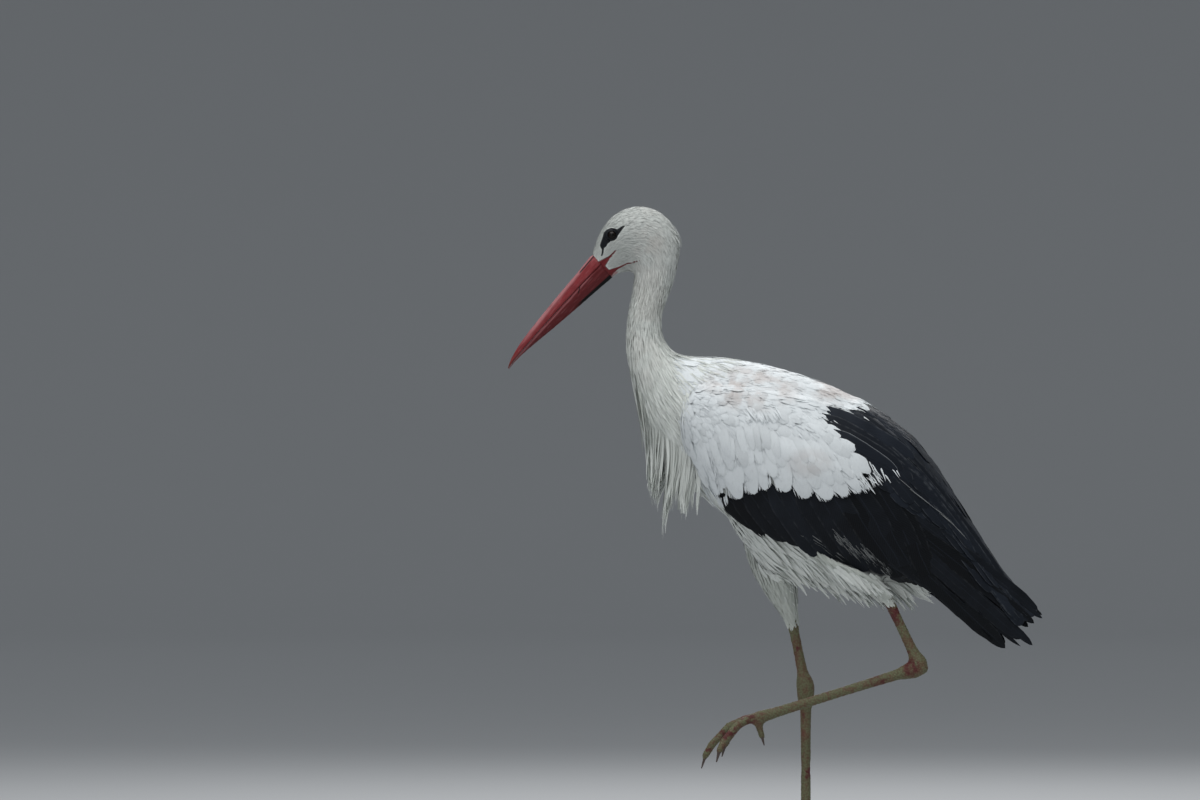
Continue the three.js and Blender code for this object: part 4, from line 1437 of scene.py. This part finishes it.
class STORK_OT_neck_coat(Operator):
    """Lays the wet, streaky plumage of the neck in long narrow strands that gather in locks"""

    bl_idname = "stork.neck_coat"
    bl_label = "Neck plumage"

    def execute(self, context):
        self.lay("upper_neck_plumage", 0.155, 0.27, 21)
        self.lay("lower_neck_plumage", 0.27, 0.38, 25)
        return {"FINISHED"}

    def lay(self, name, start, end, seed):
        form = shared["form"]

        def wanted(points, _):
            share = LINE.share(points)
            return (share > start) & (share < end) & ~on_wings(points)

        def low(points):
            return ramp(0.2, 0.36, LINE.share(points))

        roots = scattered(form, lambda points: 0.0018 + 0.0007 * low(points), wanted, seed)
        coat = Plumage(name, seed + 1)
        lengths = (0.015 + 0.017 * low(roots)) * coat.drawn((0.75, 1.25), len(roots))
        halves = (0.0008 + 0.0006 * low(roots)) * coat.drawn((0.7, 1.3), len(roots))
        broad = coat.random.random(len(roots)) < 0.35
        halves[broad] *= 2.0
        goals = lock_tips(roots, LINE.flow, 0.008, 0.034, seed)
        aims = coat.strayed(LINE.flow(roots), 0.08)
        rises = (-0.85 * form.depth(roots), coat.drawn((-0.0006, 0.0009), len(roots)) - 0.0010 * broad)
        coat.lay(STRAND, form, roots, aims, lengths, rises, halves,
                 lambda places: LINE.flow(places) + 0.35 * unit(goals - places), 0.4, sweep=0.5, roll=0.2)
        coat.build("cream")


class STORK_OT_breast_plumes(Operator):
    """Hangs the long pointed plumes of the lower neck in locks"""

    bl_idname = "stork.breast_plumes"
    bl_label = "Breast plumes"

    # Tips of the locks in the side view, in millimetres, from the front to the back.
    locks = ((187, 452), (183, 440), (179, 430), (172, 400), (168, 414), (162, 430), (157, 440), (150, 429),
             (144, 424), (137, 436), (130, 422), (121, 430), (112, 440))

    def execute(self, context):
        self.hang("breast_plumes_broad", LOCK, 0.0062, (0.0028, 0.0046), (0.055, 0.095), 31, "breast_plumes")
        self.hang("breast_plumes_fine", PLUME, 0.0034, (0.0007, 0.0016), (0.035, 0.095), 35)
        return {"FINISHED"}

    def hang(self, name, style, gap, halves, lengths, seed, *nodes):
        """One layer of plumes, each of which hangs free from its root to the tip of its lock."""
        form = shared["form"]
        coat = Plumage(name, seed + 1)
        random = coat.random

        def wanted(points, normals):
            x, y, z = points.T
            front = (x > 0.115) & (normals[:, 0] > -0.25) & (np.abs(y) < 0.05)
            return front & (z > 0.475) & (z < 0.615) & ~on_wings(points)

        roots = scattered(form, gap, wanted, seed)
        number = len(roots)
        tips = self.tips(np.random.default_rng(33))
        away = norms((roots[:, None] - tips[None])[..., :2])
        away += random.normal(0, 0.0015, away.shape)
        tip = tips[away.argmin(1)] + random.normal(0, 1, (number, 3)) * (0.0014, 0.0016, 0.005)
        span = norms(tip - roots)
        # Higher roots end short of the lock's tip, so that the lock tapers.
        reach = np.clip(random.uniform(*lengths, number) / span, 0.25, 1.0)[:, None]
        flow = unit(LINE.flow(roots) + np.array([0, 0, -0.6]))
        out = unit((roots - np.array([0.115, 0, 0])) * (1, 1, 0))
        first = roots + flow * span[:, None] * 0.35 + out * 0.004
        second = tip + np.array([0, 0, 0.35]) * span[:, None] + out * random.uniform(0, 0.003, (number, 1))
        share = (style.shares[None, :] * reach)[..., None]
        corners = [corner[:, None] for corner in (roots - out * 0.003, first, second, tip)]
        weights = ((1 - share) ** 3, 3 * share * (1 - share) ** 2, 3 * share ** 2 * (1 - share), share ** 3)
        lines = sum(corner * weight for corner, weight in zip(corners, weights))
        headings = unit(np.gradient(lines, axis=1))
        normals = np.broadcast_to(out[:, None], lines.shape)
        coat.add(style, lines, normals, headings, halves, sweep=0.6, roll=0.3)
        coat.build("cream", *nodes)

    def tips(self, random):
        """Ends of the locks, round both sides of the neck's foot."""
        tips = []
        for x, z in self.locks:
            turn = math.acos((x - 122) / 66)
            for side in (1, -1):
                high = z if side == 1 else z + random.uniform(-8, 8)
                tips.append((x / 1000, side * 0.040 * math.sin(turn), high / 1000))
        return np.array(tips)


class STORK_OT_upper_coat(Operator):
    """Lays the smooth white feathers of the back and of the wing coverts"""

    bl_idname = "stork.upper_coat"
    bl_label = "Back and coverts"

    def execute(self, context):
        form = shared["form"]

        lowest = np.array(STORK_OT_greater_coverts.tips)[::-1]

        def white(points):
            x, z = side_view(points).T
            clear = 26 * ramp(-84, -50, x) * ramp(118, 98, x)
            above = z > np.interp(x, lowest[:, 0], lowest[:, 1]) + clear
            return inside(WHITE_UPPER, points) & above & ~((x < -74) & (z < 495))

        def wanted(points, normals):
            low = (normals[:, 2] < -0.2) & (np.abs(points[:, 1]) < 0.025)
            return white(points) & (LINE.share(points) > 0.31) & ~low

        def size(points):
            x, z = side_view(points).T
            shoulder = ramp(60, 140, x) * on_wings(points)
            low = ramp(560, 480, z)
            return 0.0094 + 0.0030 * low - 0.0044 * shoulder + 0.001 * ramp(60, -60, x)

        roots = scattered(form, lambda points: size(points) * 0.85, wanted, 41)
        coat = Plumage("upper_plumage", 42)
        lengths = size(roots) * 3.6 * coat.drawn((0.85, 1.2), len(roots))
        halves = size(roots) * 0.95 * coat.drawn((0.75, 1.15), len(roots))
        aims = coat.strayed(covert_flow(roots), 0.07)
        stray = coat.random.normal(0, 0.004, roots.shape)
        lengths = shortened(roots, aims, lengths, lambda points: white(points + stray))
        halves = np.minimum(halves, lengths * 0.3)
        keep = lengths > 0.014
        roots, aims, lengths, halves = roots[keep], aims[keep], lengths[keep], halves[keep]
        rises = (-0.8 * form.depth(roots), (-0.0009, -0.0003))
        coat.lay(CONTOUR, form, roots, aims, lengths, rises, halves, covert_flow, sweep=0.25, roll=0.03)
        coat.build("white_broad")
        self.wisps(form, white, wanted)
        return {"FINISHED"}

    def wisps(self, form, white, wanted):
        """Narrow loose strands over the broad feathers."""
        def gap(points):
            return 0.0042 + 0.002 * ramp(540, 480, side_view(points)[:, 1])

        roots = scattered(form, gap, wanted, 43)
        coat = Plumage("upper_wisps", 44)
        lengths = coat.drawn((0.010, 0.022), len(roots))
        aims = coat.strayed(covert_flow(roots), 0.10)
        stray = coat.random.normal(0, 0.008, roots.shape)
        lengths = shortened(roots, aims, lengths, lambda points: white(points + stray))
        keep = lengths > 0.006
        roots, aims, lengths = roots[keep], aims[keep], lengths[keep]
        halves = coat.drawn((0.0007, 0.0016), len(roots))
        rises = (-0.0024, (-0.0005, 0.0003))
        coat.lay(STRAND, form, roots, aims, lengths, rises, halves, covert_flow, 0.2, sweep=0.8)
        coat.build("white_fine")


class STORK_OT_greater_coverts(Operator):
    """Lays the rows of long rounded white coverts whose tips scallop the wing's lower white edge"""

    bl_idname = "stork.greater_coverts"
    bl_label = "Greater coverts"

    # Where each feather of the lowest row ends in the side view, and its half width, in millimetres.
    tips = ((98, 430, 6), (81, 439.5, 13), (64, 445, 12.5), (50, 450, 9), (24, 448, 14), (0, 440.5, 14),
            (-26, 438.5, 14), (-47, 443.5, 12), (-63, 448, 8))
    # Each row: how far it lies over the lowest, how many feathers it has, their size and rise.
    rows = ((0, 9, 1.0, 0.0), (17, 12, 0.74, 0.0005), (33, 14, 0.62, 0.0008), (47, 16, 0.54, 0.0009))
    # Paths in the side view, in millimetres: the ledge of the middle coverts, the rear end of the
    # lowest row, single loose strands from root to tip, and the long edge of the shoulder.
    ledge = ((74, 531), (60, 533), (46, 530), (30, 534))
    rear = ((-60, 447), (-70, 450), (-80, 455), (-90, 461))
    loose = (((-72, 488), (-82, 466)), ((-86, 480), (-94, 461)), ((-98, 480), (-109, 465)),
             ((-78, 472), (-88, 455)), ((-64, 470), (-74, 449)), ((-92, 470), (-99, 458)),
             ((-58, 478), (-70, 456)), ((-104, 478), (-110, 466)))
    edge = ((147, 553), (150, 536), (146, 505), (138, 484), (129, 465), (117, 444), (104, 424))

    def execute(self, context):
        form = shared["form"]
        coat = Plumage("greater_coverts", 52)
        fringe = Plumage("covert_fringe", 53)
        for side in (1, -1):
            for row, (up, count, size, rise) in enumerate(self.rows):
                table = between_rows(self.tips, np.linspace(0, 1, count))
                ends, halves = table[:, :2], table[:, 2] * size / 1000
                ends = ends + coat.random.normal(0, 1.8, ends.shape) * (row > 0 or side < 0)
                spread = np.stack([ends[:, 0], np.zeros(count), ends[:, 1]], axis=1) / 1000
                lie = covert_flow(spread)
                spread = spread - lie * up / 1000
                kept = edge_distance(WHITE_UPPER, spread) > (-0.010 if row == 0 else 0.006)
                spread, lie, halves = spread[kept], lie[kept], halves[kept]
                number = len(halves)
                lengths = 0.060 * size ** 0.5 * coat.drawn((0.92, 1.08), number)
                roots = form.from_side(side, (spread - lie * lengths[:, None])[:, [0, 2]])
                goals = form.from_side(side, spread[:, [0, 2]])
                rises = (-0.0034 + rise, rise + 0.0002 + coat.drawn((0.0, 0.0004), number))
                coat.span(COVERT, form, roots, goals, rises, halves, sweep=0.1, roll=0.05)
                self.fray(form, fringe, side, spread, lie, halves, rise)
            self.trim(form, fringe, side)
        coat.build("white_broad", *nodes_named("wing_coverts"))
        fringe.build("white_fine")
        return {"FINISHED"}

    def fray(self, form, coat, side, tips, lie, halves, rise):
        """Loose barbs round the ends of one row."""
        barbs = 26
        across = np.stack([-lie[:, 2], lie[:, 1], lie[:, 0]], axis=1)
        offset = coat.random.uniform(-1, 1, (len(tips), barbs))
        loose = 0.0004 + 0.0016 * ramp(0.03, -0.06, tips[:, 0])[:, None]
        back = halves[:, None] * (1 - np.sqrt(1 - 0.96 * offset ** 2)) * 0.9
        back = back - coat.random.uniform(-0.0012, 1, offset.shape) * loose
        aside = across[:, None] * (offset * halves[:, None] * 0.96)[..., None]
        ends = tips[:, None] + aside - lie[:, None] * back[..., None]
        starts = ends - lie[:, None] * 0.011
        goals, roots = (form.from_side(side, place.reshape(-1, 3)[:, [0, 2]]) for place in (ends, starts))
        rises = (rise - 0.0016, rise + coat.drawn((0.0, 0.0006), len(roots)))
        coat.span(TUFT, form, roots, goals, rises, (0.0005, 0.0011), roll=0.2)

    def trim(self, form, coat, side):
        """The ragged ledge of the middle coverts, the long edge of the shoulder and loose ends behind."""
        coat.strew(STRAND, form, side, self.ledge, 46, 1.6, (0.010, 0.018), (0.42, 0.90, 0.12),
                   (-0.001, (0.0010, 0.0022)), (0.0010, 0.0020))
        coat.string(DOWN, form, side, self.edge, 34, 0.8, (22, 40), 1.4, (0.0002, (0.0006, 0.0020)),
                    (0.0008, 0.0016))
        # A few loose strands end the lowest row over the black feathers.
        coat.strew(STRAND, form, side, self.rear, 46, 2.0, (0.007, 0.020), (0.55, 0.83, 0.16),
                   (-0.0015, (0.0, 0.0012)), (0.0005, 0.0012), crowd=1.2)
        roots, goals = (form.from_side(side, np.array(self.loose)[:, i] / 1000) for i in (0, 1))
        coat.span(DOWN, form, roots, goals, (-0.0015, 0.0006), (0.0010, 0.0016), sweep=0.8)


class STORK_OT_flight_feathers(Operator):
    """Lays the black secondaries, primaries, tertials and scapulars, each over the one below"""

    bl_idname = "stork.flight_feathers"
    bl_label = "Black wing feathers"

    # Each group: where its feathers start, where they end and their half widths, in millimetres in
    # the side view; then their number, the height of the first over the wing and the rise to the next.
    groups = {
        "primaries": (QUILL, ((-60, 396), (-88, 402), (-108, 412), (-122, 428)), (
            (-184, 315, 10), (-202, 297, 10), (-218, 280, 10), (-222, 266, 4), (-238, 261, 13),
            (-255, 261, 3.5), (-258, 269, 10), (-273, 264, 7), (-271, 287, 9), (-261, 300, 12),
            (-284, 297, 6), (-277, 306, 9), (-262, 317, 9)), 13, -4.4, 0.17),
        "secondaries": (FLIGHT, ((104, 446), (60, 458), (10, 466), (-40, 468), (-84, 474)), (
            (52, 400, 15), (10, 387, 16), (-40, 366, 16), (-90, 348, 16), (-135, 336, 15), (-165, 321, 14)),
            14, -4.2, 0.09),
        "tertials": (FLIGHT, ((-70, 500), (-62, 520), (-52, 536), (-44, 550)), (
            (-140, 446, 14), (-162, 420, 15), (-186, 390, 15), (-200, 370, 14), (-224, 348, 12),
            (-244, 330, 9)), 9, -2.9, 0.25),
        "scapulars": (FLIGHT, ((-44, 496), (-20, 520), (-6, 536), (-6, 552)), (
            (-98, 466, 11), (-108, 466, 12), (-116, 474, 12), (-124, 482, 12)), 6, -1.2, 0.2),
    }
    # Frayed places over the secondaries: their paths and spread in the side view, in millimetres, and
    # how many barbs they have; then the path of the pale lines low on those feathers.
    frays = ((((-36, 392), (-68, 365)), 2.8, 60), (((-72, 374), (-84, 360)), 2.8, 34),
             (((-87, 362), (-103, 343)), 2.4, 36))
    lines = ((22, 402), (4, 394), (-20, 379), (-45, 361))
    # Pale edges of the long tertials, in the side view, in millimetres.
    band = (((-98, 474), (-122, 452), (-150, 430), (-172, 412), (-190, 392), (-206, 368)),
            ((-112, 492), (-138, 462), (-160, 434), (-176, 420)))

    def execute(self, context):
        form = shared["form"]
        for group, (style, starts, ends, count, height, step) in self.groups.items():
            coat = Plumage(f"black_{group}", len(group))
            shares = np.linspace(0, 1, count)
            for side in (1, -1):
                table = between_rows(ends, shares)
                flat = (table[:, :2] + coat.random.normal(0, 0.8, (count, 2))) / 1000
                goals = form.from_side(side, flat, reach=0.035)
                goals[:, 0], goals[:, 2] = flat.T
                roots = form.from_side(side, between_rows(starts, shares) / 1000)
                rise = (height + step * np.arange(count)) / 1000
                halves = table[:, 2] / 1000 * coat.drawn((0.95, 1.05), count)
                marks = 0.9 * (group == "scapulars") * (np.arange(count) == 2)
                coat.span(style, form, roots, goals, (rise - 0.0012, rise), halves, 0.5,
                          marks=marks, sweep=0.2, roll=0.04)
            look = "glossy" if group in ("tertials", "scapulars") else "black"
            coat.build(look, *nodes_named(f"wing_{group}"), slot="black_feathers")
        self.barbs(form)
        self.contours(form)
        self.over_back(form)
        return {"FINISHED"}

    def over_back(self, form):
        """Long black feathers over the lower back, down to where the primaries begin."""
        slope = np.array([-0.66, 0.0, -0.75])

        def wanted(points, normals):
            x, _, z = points.T
            black = ~inside(WHITE_UPPER, points) & (x < -0.085) & (z > 0.29) & (past_wing(points) < 0.045)
            return black & (normals @ np.array([-0.75, 0.0, 0.66]) > 0.45)

        roots = scattered(form, 0.0125, wanted, 59)
        names = shared["owners"].of(roots)
        kept = np.isin(names, nodes_named("trunk", "wing")) | ((names == "tail") & (roots[:, 2] > 0.345))
        roots = roots[kept]
        coat = Plumage("black_back", 60)
        random = coat.random
        number = len(roots)
        aims = slope + random.normal(0, 0.05, (number, 3)) + roots * (0, 1.5, 0)
        lengths = random.uniform(0.055, 0.080, number)
        lengths = shortened(roots, aims, lengths, lambda points: past_wing(points) < 0.066)
        halves = np.minimum(random.uniform(0.008, 0.012, number), lengths * 0.25)
        order = roots @ slope
        rises = (-0.0045, -0.0008 - 0.0014 * (order - order.min()) / np.ptp(order))
        coat.lay(FLIGHT, form, roots, aims, lengths, rises, halves, lambda places: slope + 0 * places,
                 sweep=0.1, roll=0.05)
        coat.build("glossy", slot="black_feathers")

    def barbs(self, form):
        """Frayed grey barbs and thin pale edges low on the secondaries."""
        coat = Plumage("secondary_barbs", 58)
        random = coat.random
        for side in (1, -1):
            for path, spread, number in self.frays:
                coat.strew(TUFT, form, side, path, number, spread, (0.009, 0.022), (0.68, 0.73, 0.05),
                           (-0.0044, -0.0016), (0.0002, 0.0004), flat=0.5)
            rows = random.choice((0.0, 3.0, 6.5), 18) + random.normal(0, 0.5, 18)
            coat.string(STRAND, form, side, self.lines, 18, 0.7, (16, 34),
                        np.stack([0 * rows, rows], axis=1), (-0.0034, -0.0018), (0.0002, 0.0005))
            for path in self.band:
                coat.string(STRAND, form, side, path, 12, 0.8, (14, 34), 0.5, (-0.0006, 0.0006),
                            (0.0003, 0.0006))
        coat.build("barbs")

    def contours(self, form):
        """Small black feathers under and between the scapulars and the tertials."""
        def wanted(points, _):
            return inside(BLACK_UPPER, points) & (points[:, 2] > 0.42)

        def flow(points):
            return np.broadcast_to(unit(np.array([-0.68, 0, -0.73])), points.shape)

        roots = scattered(form, 0.0085, wanted, 56)
        coat = Plumage("black_contours", 57)
        lengths = coat.drawn((0.030, 0.042), len(roots))
        halves = coat.drawn((0.0065, 0.009), len(roots))
        aims = coat.strayed(flow(roots), 0.05)
        coat.lay(CONTOUR, form, roots, aims, lengths, (-0.0042, (-0.0030, -0.0014)), halves, flow, roll=0.06)
        coat.build("glossy", slot="black_feathers")


class STORK_OT_under_coat(Operator):
    """Lays the loose white plumage of the breast, flanks, belly and thighs"""

    bl_idname = "stork.under_coat"
    bl_label = "Belly and thighs"

    def execute(self, context):
        form = shared["form"]
        owners = Owners(nodes_named("head", "neck", "trunk", "tail", "thigh", "wing", "shank", "hock"))

        def under(points, _):
            x, _, z = points.T
            free = ~inside(WHITE_UPPER, points) & ~on_wings(points) & (x > -0.137) & (x < 0.2) & (z > 0.2)
            return free & (LINE.share(points) > 0.35)

        for name, chosen, size, gap, flow, seed, lock_rise, down_rises in (
                ("belly", ("trunk", "tail", "neck"), 1.0, 0.0050, body_flow, 61, -0.0002, (-0.0012, 0.0002)),
                ("thigh", ("thigh",), 0.75, 0.0038, self.thigh_flow, 65, 0.0004, (-0.0008, 0.0010))):
            for kind, style, apart, lengths, halves, rises, reach, step in (
                    ("locks", LOCK, 1.7, (0.036, 0.052), (0.0060 * size, 0.0090 * size),
                     (-0.0018, lock_rise), 4, 0),
                    ("plumage", DOWN, 1.2, (0.022, 0.036), (0.0022, 0.0042), down_rises, 3.5, 2)):
                roots = scattered(form, gap * apart, under, seed + step)
                roots = roots[np.isin(owners.of(roots), nodes_named(*chosen))]
                lengths = tuple(end * size for end in lengths)
                self.lay(f"{name}_{kind}", style, roots, flow, lengths, halves, rises, gap * reach,
                         seed + step + 1)
        self.fringe(form)
        return {"FINISHED"}

    def fringe(self, form):
        """Loose soft locks that leave the flanks and hang free below them."""
        def low_flank(points, normals):
            x, y, z = points.T
            up = normals[:, 2]
            free = (x > -0.118) & (x < 0.030) & (np.abs(y) < 0.075) & (z > 0.318) & (z < 0.380)
            return free & (up > -0.8) & (up < 0.35) & ~on_wings(points)

        roots = scattered(form, 0.0050, low_flank, 68)
        roots = roots[np.char.startswith(shared["owners"].of(roots), "t")]
        coat = Plumage("belly_fringe", 69)
        random = coat.random
        number = len(roots)
        xs, heights = (-0.119, -0.096, -0.053, -0.005, 0.011), (0.328, 0.320, 0.321, 0.324, 0.334)
        low = np.interp(roots[:, 0], xs, heights)
        low = low + random.uniform(-0.001, 0.016, number)
        lengths = np.clip((roots[:, 2] - low) / 0.66, 0.012, 0.056)
        aims = np.array([-0.74, 0, -0.67]) + random.normal(0, 0.10, (number, 3))
        rises = (-0.0038, random.uniform(-0.0012, 0.0002, number))
        halves = np.minimum(random.uniform(0.0022, 0.0050, number), lengths * 0.14)
        coat.lay(LOCK, form, roots, aims, lengths, rises, halves,
                 lambda places: np.array([-0.66, 0, -0.75]) + 0 * places, 0.35, -0.2, sweep=0.9, roll=0.12)
        coat.build("belly")

    def lay(self, name, style, roots, flow, lengths, halves, rises, gap, seed):
        """One layer of plumage that draws together into locks."""
        form = shared["form"]
        coat = Plumage(name, seed)
        belly = name.startswith("belly")
        lengths = coat.drawn(lengths, len(roots)) * (1 - 0.6 * ramp(-0.085, -0.140, roots[:, 0]))
        for side, (_, end) in KNEES.items():
            to_end = norms(roots - end) + 0.004
            mine = (roots[:, 1] * side > 0) & (not belly)
            lengths = np.where(mine, np.minimum(lengths, to_end), lengths)
        halves = coat.drawn(halves, len(roots))
        goals = lock_tips(roots, flow, gap, 0.050, seed)
        aims = coat.strayed(flow(roots), 0.10)
        hang = np.where(belly & (roots[:, 0] > -0.105), -0.45, -2.0)
        coat.lay(style, form, roots, aims, lengths, (-0.8 * form.depth(roots), rises), halves,
                 lambda places: flow(places) + 0.5 * unit(goals - places), 0.35, hang, sweep=0.4, roll=0.08)
        coat.build("belly" if belly else "thigh")

    def thigh_flow(self, points):
        """From the knee down to the bare shank."""
        flow = np.empty(points.shape)
        for side, (knee, bare) in KNEES.items():
            flow[points[:, 1] * side >= 0] = unit(bare - knee)
        return flow


class STORK_OT_tail(Operator):
    """Lays the white tail feathers that lie under the folded wings"""

    bl_idname = "stork.tail"
    bl_label = "Tail"

    def execute(self, context):
        coat = Plumage("tail_feathers", 72)
        spread = np.linspace(-1, 1, 12)
        roots = np.stack([np.full(12, -0.105), spread * 0.030, 0.372 + 0 * spread], axis=1)
        goals = np.stack([-0.236 + 0.006 * spread ** 2, spread * 0.026, 0.296 + 0 * spread], axis=1)
        normals = np.broadcast_to(np.array([-0.6, 0, 0.8]), (12, FLIGHT.shares.size, 3))
        centres = roots[:, None] + (goals - roots)[:, None] * FLIGHT.shares[None, :, None]
        centres[..., 2] -= (0.0006 * np.abs(spread) * 6)[:, None]
        headings = np.broadcast_to(unit(goals - roots)[:, None], centres.shape)
        coat.add(FLIGHT, centres, normals, headings, np.full(12, 0.012))
        coat.build("white_broad")
        return {"FINISHED"}


class STORK_OT_leg_scales(Operator):
    """Covers the bare legs and toes with small six-sided scales"""

    bl_idname = "stork.leg_scales"
    bl_label = "Leg scales"

    def execute(self, context):
        form = shared["form"]

        def wanted(points, _):
            bare = (points[:, 2] < 0.330) & (points[:, 0] > -0.16)
            bare[bare] = np.isin(shared["owners"].of(points[bare]), LEG_NODES)
            return bare

        def size(points):
            return 0.0017 + 0.0008 * ramp(0.03, 0.09, points[:, 2])

        roots = scattered(form, size, wanted, 81)
        places, normals = form.nearest(roots)
        number = len(roots)
        coat = Plumage("leg_scales", 82)
        sides = across_normal(np.broadcast_to(np.array([0.0, 1.0, 0.2]), normals.shape), normals)
        fronts = np.cross(normals, sides)
        turns = np.arange(6) * math.pi / 3 + coat.random.uniform(-0.2, 0.2, (number, 1))
        widths = size(roots) * coat.drawn((0.50, 0.60), number)
        rings = []
        for wide, high in ((1.15, -0.0003), (0.84, 0.00016)):
            out = sides[:, None] * np.cos(turns)[..., None] + fronts[:, None] * np.sin(turns)[..., None]
            rings.append(places[:, None] + out * (widths * wide)[:, None, None] + normals[:, None] * high)
        coat.add_plates(np.stack(rings, axis=1))
        coat.build("leg", slot="leg_skin")
        return {"FINISHED"}


# ---- Studio ----


class STORK_OT_studio(Operator):
    """Sets up the paper floor, the soft lights and the camera"""

    bl_idname = "stork.studio"
    bl_label = "Studio"

    def execute(self, context):
        studio = context.scene.stork_studio
        self.floor(studio)
        self.light("Overhead light", (0.35, 0.9, 3.2), 2.6, studio.key_power)
        self.light("Camera light", (1.6, 4.5, 1.4), 3.0, studio.fill_power)
        self.light("Rim light", (-0.4, -2.4, 2.5), 1.6, studio.rim_power)
        world = bpy.data.worlds.new("Studio air")
        world.use_nodes = True
        world.node_tree.nodes["Background"].inputs["Color"].default_value = (0.9, 0.95, 1.0, 1.0)
        world.node_tree.nodes["Background"].inputs["Strength"].default_value = 0.30
        context.scene.world = world
        context.scene.view_settings.view_transform = "Standard"
        self.camera(context, studio)
        return {"FINISHED"}

    def floor(self, studio):
        """A round sheet of paper, with its rim curved up far from the bird."""
        bpy.ops.object.select_all(action="DESELECT")
        radius = studio.floor_radius
        bpy.ops.mesh.primitive_circle_add(vertices=96, radius=radius, fill_type="NGON", location=(0, 0, 0))
        floor = bpy.context.object
        floor.name = floor.data.name = "studio_floor"
        bpy.ops.object.mode_set(mode="EDIT")
        bpy.ops.mesh.select_all(action="SELECT")
        turn = 4.0
        before = radius
        for step in range(1, 9):
            angle = math.radians(80) * step / 8
            wider = radius + turn * math.sin(angle)
            rise = turn * (math.cos(angle - math.radians(80) / 8) - math.cos(angle))
            bpy.ops.mesh.select_mode(type="EDGE")
            bpy.ops.mesh.region_to_loop()
            bpy.ops.mesh.extrude_region_move(TRANSFORM_OT_translate={"value": (0, 0, rise)})
            bpy.ops.transform.resize(value=(wider / before, wider / before, 1))
            before = wider
            bpy.ops.mesh.select_mode(type="FACE")
            bpy.ops.mesh.select_all(action="SELECT")
        bpy.ops.mesh.normals_make_consistent(inside=False)
        bpy.ops.object.mode_set(mode="OBJECT")
        bpy.ops.object.shade_smooth()
        floor.data.materials.append(floor_finish("Studio paper", studio.floor))

    def light(self, name, place, size, power):
        """A square soft light that faces the middle of the bird."""
        bpy.ops.object.light_add(type="AREA", location=place)
        light = bpy.context.object
        light.name = light.data.name = name
        light.data.size = size
        light.data.energy = power
        light.rotation_euler = (Vector((0.05, 0, 0.5)) - Vector(place)).to_track_quat("-Z", "Y").to_euler()

    def camera(self, context, studio):
        """A long lens from the bird's left, a little below its back."""
        place, target = Vector((0.247, 10.0, 0.46)), Vector((0.247, 0, 0.558))
        bpy.ops.object.camera_add(location=place)
        camera = bpy.context.object
        camera.name = camera.data.name = "Stork camera"
        camera.rotation_euler = (target - place).to_track_quat("-Z", "Y").to_euler()
        camera.data.lens = studio.focal_length
        camera.data.sensor_width = 36
        camera.data.clip_end = 200
        context.scene.camera = camera


class STORK_OT_finishes(Operator):
    """Makes the plumage finishes that several pieces share"""

    bl_idname = "stork.finishes"
    bl_label = "Plumage finishes"

    def execute(self, context):
        colours = context.scene.stork_colours
        for key, name, tip, fine in (
                ("head", "Head plumage", colours.head_tip, 0.0),
                ("cream", "Cream plumage", colours.cream_tip, 0.0),
                ("white_fine", "Fine white plumage", colours.white_tip, 0.0),
                ("white_broad", "Broad white plumage", colours.white_tip, 1.0),
                ("belly", "Belly plumage", colours.belly_tip, 0.0),
                # The thigh plumage's colour holds painted shade.
                ("thigh", "Thigh plumage", colours.thigh_shaded_tip, 0.0),
                ("barbs", "Frayed barbs", colours.barb_tip, 0.0)):
            shared[key] = feather_white(name, colours, tip, fine)
        shared["black"] = feather_black("Black plumage", colours)
        shared["leg"] = scale_finish("Leg scales", colours)
        # Less rough, and with a painted bluish wet sheen in its colour.
        shared["glossy"] = feather_black("Glossy black plumage", colours, gloss=0.3)
        return {"FINISHED"}


OPERATORS = (
    STORK_OT_finishes, STORK_OT_skin, STORK_OT_bill, STORK_OT_eyes, STORK_OT_claws, STORK_OT_head_coat,
    STORK_OT_neck_coat, STORK_OT_breast_plumes, STORK_OT_upper_coat, STORK_OT_greater_coverts,
    STORK_OT_flight_feathers, STORK_OT_under_coat, STORK_OT_tail, STORK_OT_leg_scales, STORK_OT_studio,
)


class STORK_PT_panel(Panel):
    """Lists the steps of the stork, in their order"""

    bl_idname = "STORK_PT_panel"
    bl_label = "White Stork"
    bl_space_type = "VIEW_3D"
    bl_region_type = "UI"
    bl_category = "Stork"

    def draw(self, context):
        for operator in OPERATORS:
            self.layout.operator(operator.bl_idname)


GROUPS = {"stork_sizes": StorkSizes, "stork_colours": StorkColours, "stork_studio": StorkStudio}
CLASSES = (*GROUPS.values(), *OPERATORS, STORK_PT_panel)


def register():
    for made in CLASSES:
        bpy.utils.register_class(made)
    for name, group in GROUPS.items():
        setattr(Scene, name, PointerProperty(type=group))


def unregister():
    for name in GROUPS:
        delattr(Scene, name)
    for made in reversed(CLASSES):
        bpy.utils.unregister_class(made)


def main():
    """Builds the whole bird and its studio."""
    register()
    for operator in OPERATORS:
        getattr(bpy.ops.stork, operator.bl_idname.removeprefix("stork."))()


if __name__ == "__main__":
    main()
